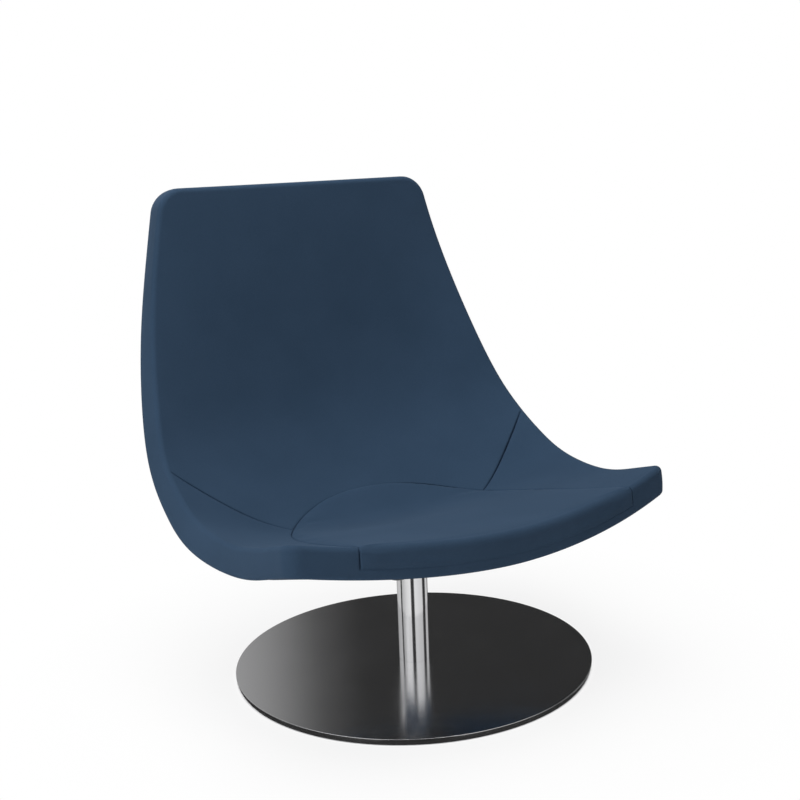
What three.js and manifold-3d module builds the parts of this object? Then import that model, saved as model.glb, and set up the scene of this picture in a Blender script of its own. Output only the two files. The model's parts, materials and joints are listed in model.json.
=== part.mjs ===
// Pedestal swivel armchair: an upholstered one-piece shell on a column and a round disc base.
// Millimetres, +Z up. The swivel axis is Z, the floor is z = 0 and the chair faces -Y.

import * as THREE from 'three';
import { mergeVertices } from 'three/addons/utils/BufferGeometryUtils.js';
import Module from 'manifold-3d';

const wasm = await Module();
wasm.setup();

// Clearances that all pieces share
const fitGap = 0.3;
const seamGap = 0.5;
const rimGap = 1.2;
const cutOverrun = 4;
const mergeTolerance = 0.001;

// Base disc
const discRadius = 350;
const discHeight = 13;
const discSheet = 2;
const discEdgeRound = 1.6;
const discFloorClearance = 1;
const floorPadThickness = 2.7;
const floorPadMargin = 22;
const discSides = 72;

// Column
const columnRadius = 30;
const columnWall = 2.5;
const columnTopHeight = 190;
const footPlugLength = 30;
const footPlugBore = 9;
const footScrewRadius = 4;
const footScrewLength = 24;
const footScrewHeadRadius = 7.6;
const footScrewHeadHeight = 4;
const footScrewCount = 4;
const columnSides = 32;

// Swivel bearing inside the column
const housingLength = 90;
const spindleRadius = 12.5;
const bushWall = 1.9;
const bushLength = 26;
const bushFlange = 5;
const bushFlangeThickness = 2.5;
const thrustWasherRadius = 24;
const thrustWasherThickness = 2.8;
const retainingWasherRadius = 18;
const retainingWasherThickness = 3;
const retainingBoltRadius = 5;
const retainingBoltLength = 22;
const retainingBoltHeadRadius = 8.5;
const retainingBoltHeadHeight = 6.4;

// Seat plate and what fastens it
const plateSize = 176;
const plateThickness = 6;
const plateCornerRadius = 16;
const hubRadius = 26;
const hubLength = 19;
const seatBoltInset = 20;
const seatBoltRadius = 4;
const seatBoltLength = 24;
const seatBoltHeadRadius = 7.5;
const seatBoltHeadHeight = 5.3;
const seatWasherRadius = 8;
const seatWasherThickness = 1.6;
const insertWall = 2;
const insertLength = 15;
const insertFlange = 3.5;
const insertFlangeThickness = 1.5;
const boltSides = 12;
const hexagonSides = 6;
const plateCornerSteps = 8;

// Block between the seat plate and the shell
const blockMargin = 8;
const blockOpeningGap = 1.2;
const shellScrewInset = 42;
const shellScrewRadius = 2.5;
const shellScrewCover = 4.3;
const shellScrewHeadRadius = 5;
const shellScrewHeadHeight = 3;

// Upholstered shell: its face is one smooth sheet, and every layer lies a depth below that face
const shellRise = 650;
const shellHalfWidth = 419;
const backReach = 418;
const frontReach = 362;
const crossPower = 2.1;
const shellThickness = 55;
const shellPlateGap = 4.8;
const coverThickness = 1.8;
const plyThickness = 12;
const rearFoamThickness = 12;
const faceEdgeRadius = 10;
const rearEdgeRadius = 9;
const topCornerRadius = 45;
const frontCornerRadius = 26;
const uprightStartShare = 0.7;
const uprightShare = 0.85;

// Seat pad, a D in plan, and the darts that run from it to the rim
const padRearY = 177;
const padCentreY = -150;
const padBorderWidth = 130;
const padFrontTaper = 11;
const padCrown = 6;
const padLipHeight = 11.5;
const padFoamThickness = 9;
const padFoamEdge = 1;
const seamDip = 1.2;
const dartEndShare = 0.76;
const dartRimShare = 0.463;
const padTurnShare = 0.45;
const cornerStepShare = 0.4;
const padSidePower = 4;

// Shares of the sheet at ten stations from the top edge to the front edge. Y shares are of backReach
// behind the axis and of frontReach before it, and Z shares are of the rise from the lowest point.
const centreYShares = [1, 0.969, 0.921, 0.828, 0.655, 0.402, 0.144, -0.249, -0.649, -1];
const centreZShares = [1, 0.806, 0.573, 0.354, 0.185, 0.055, 0, 0.05, 0.096, 0.131];
const rimXShares = [0.716, 0.785, 0.866, 0.935, 0.974, 0.983, 0.983, 0.969, 0.953, 0.938];
const rimYShares = [1, 0.959, 0.844, 0.66, 0.49, 0.318, 0.098, -0.26, -0.54, -0.757];
const rimZShares = [1, 0.806, 0.573, 0.351, 0.233, 0.168, 0.12, 0.113, 0.152, 0.197];

// How finely the sheet is divided
const backRows = 11;
const dartColumns = 5;
const padColumns = 8;
const seatRows = 8;
const roundSteps = 2;
const slopeStepShare = 0.001;
const samePlaceShare = 0.00001;
const locateTurns = 14;

// Colours and finishes
const stainless = { color: 0xb9bcbf, metalness: 1, roughness: 0.3 };
const steel = { color: 0x8a8d90, metalness: 0.9, roughness: 0.5 };
const zinc = { color: 0xa7a9a6, metalness: 0.9, roughness: 0.4 };
const nylon = { color: 0xe6e3da, metalness: 0, roughness: 0.5 };
const felt = { color: 0x2b2c2e, metalness: 0, roughness: 0.95 };
const wood = { color: 0xb98f5f, metalness: 0, roughness: 0.7 };
const foam = { color: 0xd9cfae, metalness: 0, roughness: 0.95 };
const cloth = { color: 0x2c435c, metalness: 0, roughness: 0.9 };

// Heights of the swivel stack, from the floor up
const discTopInside = discHeight - discSheet;
const weightPlateTop = discTopInside - fitGap;
const weightPlateBottom = floorPadThickness + fitGap;
const columnFoot = weightPlateTop + fitGap;
const housingBottom = columnTopHeight - housingLength;
const lowerFlangeBottom = housingBottom - fitGap - bushFlangeThickness;
const upperFlangeTop = columnTopHeight + fitGap + bushFlangeThickness;
const thrustWasherBottom = upperFlangeTop + fitGap;
const hubBottom = thrustWasherBottom + thrustWasherThickness + fitGap;
const plateBottom = hubBottom + hubLength;
const plateTop = plateBottom + plateThickness;
const blockBottom = plateTop + fitGap;
const shellLowHeight = plateTop + shellPlateGap + shellThickness;

// The block, and the squares of fasteners in it
const blockSize = plateSize - 2 * blockMargin;
const seatBoltPitch = blockSize - 2 * seatBoltInset;
const shellScrewPitch = blockSize - 2 * shellScrewInset;
const seatWasherBottom = plateBottom - fitGap - seatWasherThickness;
const seatBoltSeat = seatWasherBottom - fitGap;
const seatBoltTip = seatBoltSeat + seatBoltLength;

// Depths of the layers below the face of the shell
const rearCoverDepth = shellThickness - coverThickness;
const rearFoamBottomDepth = rearCoverDepth - 2 * fitGap;
const rearFoamDepth = rearFoamBottomDepth - rearFoamThickness;
const plyDepth = rearFoamDepth - fitGap - plyThickness;
const frontFoamBottomDepth = plyDepth - fitGap;
const layerInset = coverThickness + rimGap;
const coverEndDepth = shellThickness - rearEdgeRadius - seamGap;
const padLipDepth = coverEndDepth - padLipHeight;
const padFlapDepth = padLipDepth - seamGap;

// The pad in plan
const padHalfWidth = shellHalfWidth - padBorderWidth;
const padFrontHalfWidth = padHalfWidth - padFrontTaper;
const dartEndX = padHalfWidth * dartEndShare;

const chair = new THREE.Group();

// Geometry helpers

function signedVolume(positions, triangles) {
  let total = 0;
  const corner = [new THREE.Vector3(), new THREE.Vector3(), new THREE.Vector3()];
  for (let i = 0; i < triangles.length; i += 3) {
    corner.forEach((point, k) => point.fromArray(positions, 3 * triangles[i + k]));
    total += corner[0].dot(corner[1].clone().cross(corner[2]));
  }
  return total / 6;
}

// Joins equal vertices, drops empty triangles and turns the faces outwards
function closedGeometry(geometry) {
  const bare = new THREE.BufferGeometry();
  bare.setAttribute('position', geometry.getAttribute('position').clone());
  bare.setIndex(geometry.index ? geometry.index.clone() : null);
  const merged = mergeVertices(bare, mergeTolerance);
  const positions = merged.getAttribute('position').array;
  const index = merged.index.array;
  let triangles = [];
  for (let i = 0; i < index.length; i += 3) {
    const [a, b, c] = [index[i], index[i + 1], index[i + 2]];
    if (a !== b && b !== c && c !== a) triangles.push(a, b, c);
  }
  if (signedVolume(positions, triangles) < 0) triangles = triangles.reverse();
  merged.setIndex(triangles);
  return merged;
}

function toSolid(geometry) {
  const closed = closedGeometry(geometry);
  return new wasm.Manifold(new wasm.Mesh({
    numProp: 3,
    vertProperties: new Float32Array(closed.getAttribute('position').array),
    triVerts: new Uint32Array(closed.index.array),
  }));
}

function toGeometry(solid) {
  const mesh = solid.getMesh();
  const geometry = new THREE.BufferGeometry();
  geometry.setAttribute('position', new THREE.BufferAttribute(mesh.vertProperties, 3));
  geometry.setIndex(new THREE.BufferAttribute(mesh.triVerts, 1));
  return geometry;
}

function cut(geometry, cutters) {
  let solid = toSolid(geometry);
  for (const cutter of cutters) solid = solid.subtract(toSolid(cutter));
  return toGeometry(solid);
}

function join(first, second) {
  return toGeometry(toSolid(first).add(toSolid(second)));
}

// A solid turned about Z from a closed list of [radius, height] points
function turned(profile, sides) {
  const points = profile.map(([radius, height]) => new THREE.Vector2(radius, height));
  const touchesAxis = profile[0][0] === 0 && profile.at(-1)[0] === 0;
  if (!touchesAxis) points.push(points[0].clone());
  return new THREE.LatheGeometry(points, sides).rotateX(Math.PI / 2);
}

function ring(innerRadius, outerRadius, bottom, top, sides) {
  const outside = [[outerRadius, bottom], [outerRadius, top]];
  return turned([[innerRadius, bottom], ...outside, [innerRadius, top]], sides);
}

function rod(radius, bottom, top, sides) {
  return turned([[0, bottom], [radius, bottom], [radius, top], [0, top]], sides);
}

function addPiece(name, geometry, finish, place = [0, 0, 0]) {
  const closed = closedGeometry(geometry);
  closed.computeVertexNormals();
  const mesh = new THREE.Mesh(closed, new THREE.MeshStandardMaterial(finish));
  mesh.name = name;
  mesh.position.set(...place);
  chair.add(mesh);
  return mesh;
}

// The four corners of a square of the given pitch, and the corners of a circle
function squarePlaces(pitch) {
  const half = pitch / 2;
  return [[-half, -half], [half, -half], [half, half], [-half, half]];
}

function circlePlaces(radius, count) {
  return Array.from({ length: count }, (_, i) => {
    const angle = (2 * Math.PI * (i + 0.5)) / count;
    return [radius * Math.cos(angle), radius * Math.sin(angle)];
  });
}

// Base and column

function addBase() {
  const coverHole = columnRadius + fitGap;
  const rim = discRadius - discSheet;
  const round = Math.min(discEdgeRound, discSheet);
  const corner = (angle) => [
    discRadius - round + round * Math.sin(angle),
    discHeight - round + round * Math.cos(angle),
  ];
  const coverProfile = [
    [coverHole, discTopInside],
    [rim, discTopInside],
    [rim, discFloorClearance],
    [discRadius, discFloorClearance],
    corner(Math.PI / 2),
    corner(Math.PI / 4),
    corner(0),
    [coverHole, discHeight],
  ];
  addPiece('base_cover', turned(coverProfile, discSides), stainless);

  const plateRadius = rim - fitGap;
  const headTop = footScrewHeadHeight;
  const screwProfile = [
    [0, 0],
    [footScrewHeadRadius, 0],
    [footScrewRadius, headTop],
    [footScrewRadius, footScrewLength],
    [0, footScrewLength],
  ];
  const cutterProfile = [
    [0, -cutOverrun],
    [footScrewHeadRadius + fitGap, -cutOverrun],
    [footScrewHeadRadius + fitGap, 0],
    [footScrewRadius + fitGap, headTop],
    [footScrewRadius + fitGap, footScrewLength + fitGap],
    [0, footScrewLength + fitGap],
  ];
  const tubeInside = columnRadius - columnWall;
  const plugRadius = tubeInside - fitGap;
  const places = circlePlaces((footPlugBore + plugRadius) / 2, footScrewCount);
  const cutters = places.map(([x, y]) => (
    turned(cutterProfile, boltSides).translate(x, y, weightPlateBottom)
  ));
  const plate = rod(plateRadius, weightPlateBottom, weightPlateTop, discSides);
  addPiece('base_weight_plate', cut(plate, cutters), steel);
  addPiece('base_floor_pad', rod(discRadius - floorPadMargin, 0, floorPadThickness, discSides), felt);

  const tube = ring(tubeInside, columnRadius, columnFoot, columnTopHeight, columnSides);
  addPiece('column_tube', tube, stainless);
  const plugTop = columnFoot + footPlugLength;
  const plug = ring(footPlugBore, plugRadius, columnFoot, plugTop, columnSides);
  addPiece('column_foot_plug', cut(plug, cutters), steel);
  places.forEach(([x, y], i) => {
    const place = [x, y, weightPlateBottom];
    addPiece(`foot_screw_${i + 1}`, turned(screwProfile, boltSides), zinc, place);
  });
}

// Swivel bearing

function addBearing() {
  const bushInside = spindleRadius + fitGap;
  const bushOutside = bushInside + bushWall;
  const housingBore = bushOutside + fitGap;
  const housingOutside = columnRadius - columnWall - fitGap;
  const housing = ring(housingBore, housingOutside, housingBottom, columnTopHeight, columnSides);
  addPiece('bearing_housing', housing, steel);

  const flangeRadius = bushOutside + bushFlange;
  const lowerBush = [
    [bushInside, lowerFlangeBottom],
    [flangeRadius, lowerFlangeBottom],
    [flangeRadius, lowerFlangeBottom + bushFlangeThickness],
    [bushOutside, lowerFlangeBottom + bushFlangeThickness],
    [bushOutside, housingBottom + bushLength],
    [bushInside, housingBottom + bushLength],
  ];
  const upperBush = [
    [bushInside, columnTopHeight - bushLength],
    [bushOutside, columnTopHeight - bushLength],
    [bushOutside, columnTopHeight + fitGap],
    [flangeRadius, columnTopHeight + fitGap],
    [flangeRadius, upperFlangeTop],
    [bushInside, upperFlangeTop],
  ];
  addPiece('lower_bush', turned(lowerBush, columnSides), nylon);
  addPiece('upper_bush', turned(upperBush, columnSides), nylon);
  const thrustTop = thrustWasherBottom + thrustWasherThickness;
  const thrust = ring(bushInside, thrustWasherRadius, thrustWasherBottom, thrustTop, columnSides);
  addPiece('thrust_washer', thrust, nylon);

  const boltTip = lowerFlangeBottom + retainingBoltLength;
  const threadRadius = retainingBoltRadius + fitGap;
  const spindleProfile = [
    [0, boltTip + fitGap],
    [threadRadius, boltTip + fitGap],
    [threadRadius, lowerFlangeBottom],
    [spindleRadius, lowerFlangeBottom],
    [spindleRadius, plateTop],
    [0, plateTop],
  ];
  addPiece('spindle', turned(spindleProfile, columnSides), steel);
  const washerTop = lowerFlangeBottom - fitGap;
  const washerBottom = washerTop - retainingWasherThickness;
  const washer = ring(threadRadius, retainingWasherRadius, washerBottom, washerTop, columnSides);
  addPiece('retaining_washer', washer, zinc);
  const headTop = washerBottom - fitGap;
  const head = rod(retainingBoltHeadRadius, headTop - retainingBoltHeadHeight, headTop, hexagonSides);
  const shank = rod(retainingBoltRadius, headTop - retainingBoltHeadHeight / 2, boltTip, boltSides);
  addPiece('retaining_bolt', join(head, shank), zinc);
}

// The sheet that the shell follows

// Natural cubic spline through evenly spaced values, for t from 0 to 1
function smoothCurve(values) {
  const last = values.length - 1;
  const bends = new Array(last + 1).fill(0);
  const ratios = new Array(last + 1).fill(0);
  for (let i = 1; i < last; i += 1) {
    const pull = 6 * (values[i - 1] - 2 * values[i] + values[i + 1]);
    const pivot = 4 - ratios[i - 1];
    ratios[i] = 1 / pivot;
    bends[i] = (pull - bends[i - 1]) / pivot;
  }
  for (let i = last - 1; i > 0; i -= 1) bends[i] -= ratios[i] * bends[i + 1];
  return (t) => {
    const i = Math.min(Math.max(Math.floor(t * last), 0), last - 1);
    const after = t * last - i;
    const before = 1 - after;
    const bend = (before ** 3 - before) * bends[i] + (after ** 3 - after) * bends[i + 1];
    return before * values[i] + after * values[i + 1] + bend / 6;
  };
}

const toY = (share) => share * (share < 0 ? frontReach : backReach);
const toZ = (share) => shellLowHeight + share * shellRise;
const centreY = smoothCurve(centreYShares.map(toY));
const centreZ = smoothCurve(centreZShares.map(toZ));
const rimX = smoothCurve(rimXShares.map((share) => share * shellHalfWidth));
const rimY = smoothCurve(rimYShares.map(toY));
const rimZ = smoothCurve(rimZShares.map(toZ));

// The face before its edges are rounded: t runs from the top edge to the front edge, v across
function facePoint(t, v) {
  const lift = Math.abs(v) ** crossPower;
  return new THREE.Vector3(
    rimX(t) * v,
    THREE.MathUtils.lerp(centreY(t), rimY(t), lift),
    THREE.MathUtils.lerp(centreZ(t), rimZ(t), lift),
  );
}

function slopeAlong(t, v) {
  const step = facePoint(t + slopeStepShare, v).sub(facePoint(t - slopeStepShare, v));
  return step.divideScalar(2 * slopeStepShare);
}

function slopeAcross(t, v) {
  const step = facePoint(t, v + slopeStepShare).sub(facePoint(t, v - slopeStepShare));
  return step.divideScalar(2 * slopeStepShare);
}

// The flat field inside the rounded edge: a runs from 0 at the top to 1 at the front, b from -1 to 1.
// Each of its corners has a radius, and the field's size beside it in the two directions.
const cornerAt = (t, outerRadius, slope) => ({
  radius: Math.max(outerRadius - faceEdgeRadius, faceEdgeRadius / 4),
  width: rimX(t) - faceEdgeRadius,
  reach: slope.length(),
});
const topCorner = cornerAt(0, topCornerRadius, slopeAlong(0, 0));
const frontCorner = cornerAt(1, frontCornerRadius, slopeAlong(1, 1));

// Moves a place between a corner and its arc onto a smaller arc about the same centre
function roundCorner(a, b) {
  const atTop = a < dartRimShare;
  const { radius, width, reach } = atTop ? topCorner : frontCorner;
  const p = radius - (1 - Math.abs(b)) * width;
  const q = radius - (atTop ? a : 1 - a) * reach;
  if (p <= 0 || q <= 0) return [a, b];
  const fromSide = radius - p * Math.sqrt(1 - (q * q) / (2 * radius ** 2));
  const fromEnd = (radius - q * Math.sqrt(1 - (p * p) / (2 * radius ** 2))) / reach;
  return [atTop ? fromEnd : 1 - fromEnd, Math.sign(b) * (1 - fromSide / width)];
}

function fieldPlace(a, b) {
  const [along, across] = roundCorner(a, b);
  const start = faceEdgeRadius / slopeAlong(0, across).length();
  const end = 1 - faceEdgeRadius / slopeAlong(1, across).length();
  const t = THREE.MathUtils.lerp(start, end, along);
  const v = across * (1 - faceEdgeRadius / slopeAcross(t, Math.sign(across)).length());
  return [t, v];
}

function fieldPoint(a, b) {
  return facePoint(...fieldPlace(a, b));
}

// The direction that layers are measured in: square to the face, and more upright towards the front
function fieldNormal(a, b) {
  const [t, v] = fieldPlace(a, b);
  const normal = slopeAlong(t, v).cross(slopeAcross(t, v)).normalize();
  normal.x *= 1 - uprightShare * THREE.MathUtils.smoothstep(a, uprightStartShare, 1);
  return normal.normalize();
}

// The field place whose point, a depth below the face, stands at x, y in plan
function locate(x, y, depth = 0) {
  const at = (a, b) => fieldPoint(a, b).addScaledVector(fieldNormal(a, b), -depth);
  const place = [dartRimShare, x / shellHalfWidth];
  for (let turn = 0; turn < locateTurns; turn += 1) {
    const here = at(...place);
    const alongA = at(place[0] + slopeStepShare, place[1]).sub(here).divideScalar(slopeStepShare);
    const alongB = at(place[0], place[1] + slopeStepShare).sub(here).divideScalar(slopeStepShare);
    const area = alongA.x * alongB.y - alongA.y * alongB.x;
    const missX = x - here.x;
    const missY = y - here.y;
    place[0] += (missX * alongB.y - missY * alongB.x) / area;
    place[1] += (alongA.x * missY - alongA.y * missX) / area;
  }
  return place;
}

// Height of the layer at this depth, above x, y in plan
function layerHeight(x, y, depth) {
  const [a, b] = locate(x, y, depth);
  return fieldPoint(a, b).addScaledVector(fieldNormal(a, b), -depth).z;
}

// Seams, in plan

// Where the pad's outline crosses the dart: y on the outline's rear half-ellipse
function padOutlineY(x) {
  return padCentreY + (padRearY - padCentreY) * Math.sqrt(1 - (x / padHalfWidth) ** 2);
}

const dartEndY = padOutlineY(dartEndX);
const dartRim = [dartRimShare, 1];

function dartPlace(share) {
  if (share === 0) return dartRim;
  const rim = fieldPoint(...dartRim);
  const x = THREE.MathUtils.lerp(rim.x, dartEndX, share);
  const y = THREE.MathUtils.lerp(rim.y, dartEndY, share);
  return locate(x, y);
}

// The rear arc of the pad, from one dart end to the other, for share from -1 to 1
function padRearPlace(share) {
  const angle = Math.asin(dartEndShare) * share;
  const x = padHalfWidth * Math.sin(angle);
  return locate(x, padOutlineY(x));
}

// The side of the pad, from the dart end forward to the front edge
const padFrontPlace = [1, padFrontHalfWidth / frontCorner.width];

function padSidePlace(share) {
  const startAngle = Math.asin(dartEndShare);
  const endAngle = Math.PI / 2;
  if (share === 1) return padFrontPlace;
  if (share <= padTurnShare) {
    const angle = THREE.MathUtils.lerp(startAngle, endAngle, share / padTurnShare);
    const y = padCentreY + (padRearY - padCentreY) * Math.cos(angle);
    return locate(padHalfWidth * Math.sin(angle), y);
  }
  const along = (share - padTurnShare) / (1 - padTurnShare);
  const front = fieldPoint(...padFrontPlace);
  const x = THREE.MathUtils.lerp(padHalfWidth, front.x, along);
  const y = THREE.MathUtils.lerp(padCentreY, front.y, along);
  return locate(x, y);
}

// The field divided into panels

const nodes = [];

function nodeAt(a, b) {
  const found = nodes.findIndex((node) => Math.hypot(node.a - a, node.b - b) < samePlaceShare);
  if (found >= 0) return found;
  const point = fieldPoint(a, b);
  nodes.push({ a, b, point, normal: fieldNormal(a, b), crown: 0, fullness: 0 });
  return nodes.length - 1;
}

function mirrored([a, b]) {
  return [a, -b];
}

const shares = (count) => Array.from({ length: count + 1 }, (_, i) => i / count);
const turnedRound = (list) => list.map((share) => 1 - share).reverse();

// Rows of field places blended between four edges, as quads of node numbers. The shares say how far
// each row and each column is across the patch.
function fillPatch({ first, last, left, right, downShares, overShares }) {
  const rows = left.length - 1;
  const columns = first.length - 1;
  const mix = THREE.MathUtils.lerp;
  const grid = left.map((_, i) => first.map((__, j) => {
    const down = downShares[i];
    const over = overShares[j];
    const value = (k) => {
      const alongRows = mix(first[j][k], last[j][k], down);
      const alongColumns = mix(left[i][k], right[i][k], over);
      const corners = mix(
        mix(first[0][k], first[columns][k], over),
        mix(last[0][k], last[columns][k], over),
        down,
      );
      return alongRows + alongColumns - corners;
    };
    if (i === 0) return nodeAt(...first[j]);
    if (i === rows) return nodeAt(...last[j]);
    if (j === 0) return nodeAt(...left[i]);
    if (j === columns) return nodeAt(...right[i]);
    return nodeAt(value(0), value(1));
  }));
  const quads = [];
  for (let i = 0; i < rows; i += 1) {
    for (let j = 0; j < columns; j += 1) {
      quads.push([grid[i][j], grid[i + 1][j], grid[i + 1][j + 1], grid[i][j + 1]]);
    }
  }
  return { grid, quads };
}

// Shares with two short steps at the start, for a rounded corner
function cornerShares(count, radius, length) {
  const short = [0, cornerStepShare * radius, radius].map((step) => step / length);
  const rest = shares(count - 2).slice(1).map((share) => THREE.MathUtils.lerp(short[2], 1, share));
  return [...short, ...rest];
}

const borderWidth = (1 - padFrontPlace[1]) * frontCorner.width;
const borderLength = (1 - dartRimShare) * frontCorner.reach;
const borderShares = cornerShares(dartColumns, frontCorner.radius, borderWidth);
const seatShares = turnedRound(cornerShares(seatRows, frontCorner.radius, borderLength));
const rightDart = borderShares.map(dartPlace);
const rearArc = shares(padColumns).map((share) => padRearPlace(2 * share - 1));
const rightPadSide = seatShares.map(padSidePlace);
const backBottom = [
  ...rightDart.map(mirrored),
  ...rearArc.slice(1, -1),
  ...[...rightDart].reverse(),
];
const topHalf = cornerShares((backBottom.length - 1) / 2, topCorner.radius, topCorner.width);
const backTop = [
  ...topHalf.map((share) => [0, share - 1]),
  ...topHalf.slice(0, -1).reverse().map((share) => [0, 1 - share]),
];
const backLength = dartRimShare * topCorner.reach;
const backSide = cornerShares(backRows, topCorner.radius, backLength)
  .map((share) => [share * dartRimShare, 1]);
const rimSide = seatShares.map((share) => [THREE.MathUtils.lerp(dartRimShare, 1, share), 1]);
const frontOuter = borderShares.map((share) => [1, THREE.MathUtils.lerp(1, padFrontPlace[1], share)]);
const frontInner = shares(padColumns).map((share) => [1, (2 * share - 1) * padFrontPlace[1]]);

const backPatch = fillPatch({
  first: backTop,
  last: backBottom,
  left: backSide.map(mirrored),
  right: backSide,
  downShares: shares(backRows),
  overShares: shares(backTop.length - 1),
});
const padPatch = fillPatch({
  first: rearArc,
  last: frontInner,
  left: rightPadSide.map(mirrored),
  right: rightPadSide,
  downShares: seatShares,
  overShares: shares(padColumns),
});
const rightPatch = fillPatch({
  first: [...rightDart].reverse(),
  last: [...frontOuter].reverse(),
  left: rightPadSide,
  right: rimSide,
  downShares: seatShares,
  overShares: turnedRound(borderShares),
});
const leftPatch = fillPatch({
  first: rightDart.map(mirrored),
  last: frontOuter.map(mirrored),
  left: rimSide.map(mirrored),
  right: rightPadSide.map(mirrored),
  downShares: seatShares,
  overShares: borderShares,
});
const allQuads = [...backPatch.quads, ...padPatch.quads, ...rightPatch.quads, ...leftPatch.quads];

// The pad's crown falls to nothing at its seams and runs on over the front edge. Its foam, whose
// fullness is 1 in the middle, thins to the front edge too.
padPatch.grid.forEach((row, i) => row.forEach((number, j) => {
  const fromRear = Math.min(2 * seatShares[i], 1);
  const fromFront = Math.min(2 * (1 - seatShares[i]), 1);
  const fromSide = 1 - Math.abs((2 * j) / padColumns - 1) ** padSidePower;
  nodes[number].crown = padCrown * Math.sin((fromRear * Math.PI) / 2) * fromSide;
  nodes[number].fullness = Math.sin((Math.min(fromRear, fromFront) * Math.PI) / 2) * fromSide;
}));
const seamNumbers = new Set([
  ...padPatch.grid[0],
  ...padPatch.grid.map((row) => row[0]),
  ...padPatch.grid.map((row) => row.at(-1)),
  ...backPatch.grid.at(-1),
]);
const padNumbers = new Set(padPatch.grid.flat());

// Edge of the sheet

// The field's outline, once round, as node numbers: left side up, top, right side down, front
const outlineParts = {
  leftSeat: leftPatch.grid.map((row) => row[0]).reverse(),
  leftBack: backPatch.grid.map((row) => row[0]).reverse(),
  top: backPatch.grid[0],
  rightBack: backPatch.grid.map((row) => row.at(-1)),
  rightSeat: rightPatch.grid.map((row) => row.at(-1)),
  rightFront: [...rightPatch.grid.at(-1)].reverse(),
  padFront: [...padPatch.grid.at(-1)].reverse(),
  leftFront: [...leftPatch.grid.at(-1)].reverse(),
};

const outline = Object.entries(outlineParts).flatMap(([part, list]) => (
  list.slice(0, -1).map((number) => ({ part, number }))
));

// A column stands at each outline node and points out of the field
const columns = outline.map(({ part, number }, i) => {
  const before = nodes[outline.at(i - 1).number];
  const after = nodes[outline[(i + 1) % outline.length].number];
  const along = after.point.clone().sub(before.point);
  return { part, number, outward: nodes[number].normal.clone().cross(along).normalize() };
});

function edgePoint(column, outwardBy, depth) {
  const { point, normal } = nodes[column.number];
  return point.clone().addScaledVector(column.outward, outwardBy).addScaledVector(normal, -depth);
}

// Steps round the face edge of a layer that lies inset from the rim, with its depth at the field's edge
const roundAngles = shares(roundSteps).slice(1).map((share) => (share * Math.PI) / 2);

function faceEdgeSteps(inset, depthOf) {
  return roundAngles.map((angle) => (column) => {
    const out = (faceEdgeRadius - inset) * Math.sin(angle);
    const down = faceEdgeRadius - (faceEdgeRadius - depthOf(column.number)) * Math.cos(angle);
    return edgePoint(column, out, down);
  });
}

// Steps of the same reach at one depth, or at a depth that depends on the reach
function levelSteps(inset, depthAt) {
  return roundAngles.map((angle) => (column) => {
    const out = (faceEdgeRadius - inset) * Math.sin(angle);
    return edgePoint(column, out, depthAt(out));
  });
}

function rearEdgeSteps(inset) {
  return shares(roundSteps - 1).map((share) => (column) => {
    const angle = ((1 - share) * Math.PI) / 2;
    const round = rearEdgeRadius - inset;
    const out = faceEdgeRadius - rearEdgeRadius + round * Math.cos(angle);
    return edgePoint(column, out, shellThickness - rearEdgeRadius + round * Math.sin(angle));
  });
}

const sideStep = (inset, depth) => (column) => edgePoint(column, faceEdgeRadius - inset, depth);

// Closed solids from two skins

// Faces are lists of vertex numbers, with one skin's points in tops and the other's in bottoms.
// An edge that one face alone has gets a wall.
function closedSheet(tops, bottoms, faces) {
  const positions = [...tops, ...bottoms].flatMap((point) => point.toArray());
  const below = tops.length;
  const triangles = [];
  const edges = new Map();
  for (const face of faces) {
    const distinct = face.filter((number, i) => number !== face.at(i - 1));
    for (let i = 1; i < distinct.length - 1; i += 1) {
      const [a, b, c] = [distinct[0], distinct[i], distinct[i + 1]];
      triangles.push(a, b, c, a + below, c + below, b + below);
    }
    distinct.forEach((from, i) => {
      const to = distinct[(i + 1) % distinct.length];
      if (!edges.delete(`${to},${from}`)) edges.set(`${from},${to}`, [from, to]);
    });
  }
  for (const [from, to] of edges.values()) {
    triangles.push(from, from + below, to, to, from + below, to + below);
  }
  const geometry = new THREE.BufferGeometry();
  geometry.setAttribute('position', new THREE.Float32BufferAttribute(positions, 3));
  geometry.setIndex(triangles);
  return geometry;
}

// How far a panel's edge nodes stand back from its seams: half the seam's gap, towards the panel
function pullsOf(quads) {
  const pulls = new Map();
  for (const quad of quads) {
    const middle = new THREE.Vector3();
    quad.forEach((number) => middle.addScaledVector(nodes[number].point, 1 / quad.length));
    for (const number of quad.filter((each) => seamNumbers.has(each))) {
      const towards = middle.clone().sub(nodes[number].point);
      pulls.set(number, (pulls.get(number) ?? new THREE.Vector3()).add(towards));
    }
  }
  for (const [number, pull] of pulls) {
    const column = columns.find((each) => each.number === number);
    if (column) pull.projectOnPlane(column.outward);
    pull.projectOnPlane(nodes[number].normal).setLength(seamGap / 2);
  }
  return (number) => pulls.get(number) ?? new THREE.Vector3();
}

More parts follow.
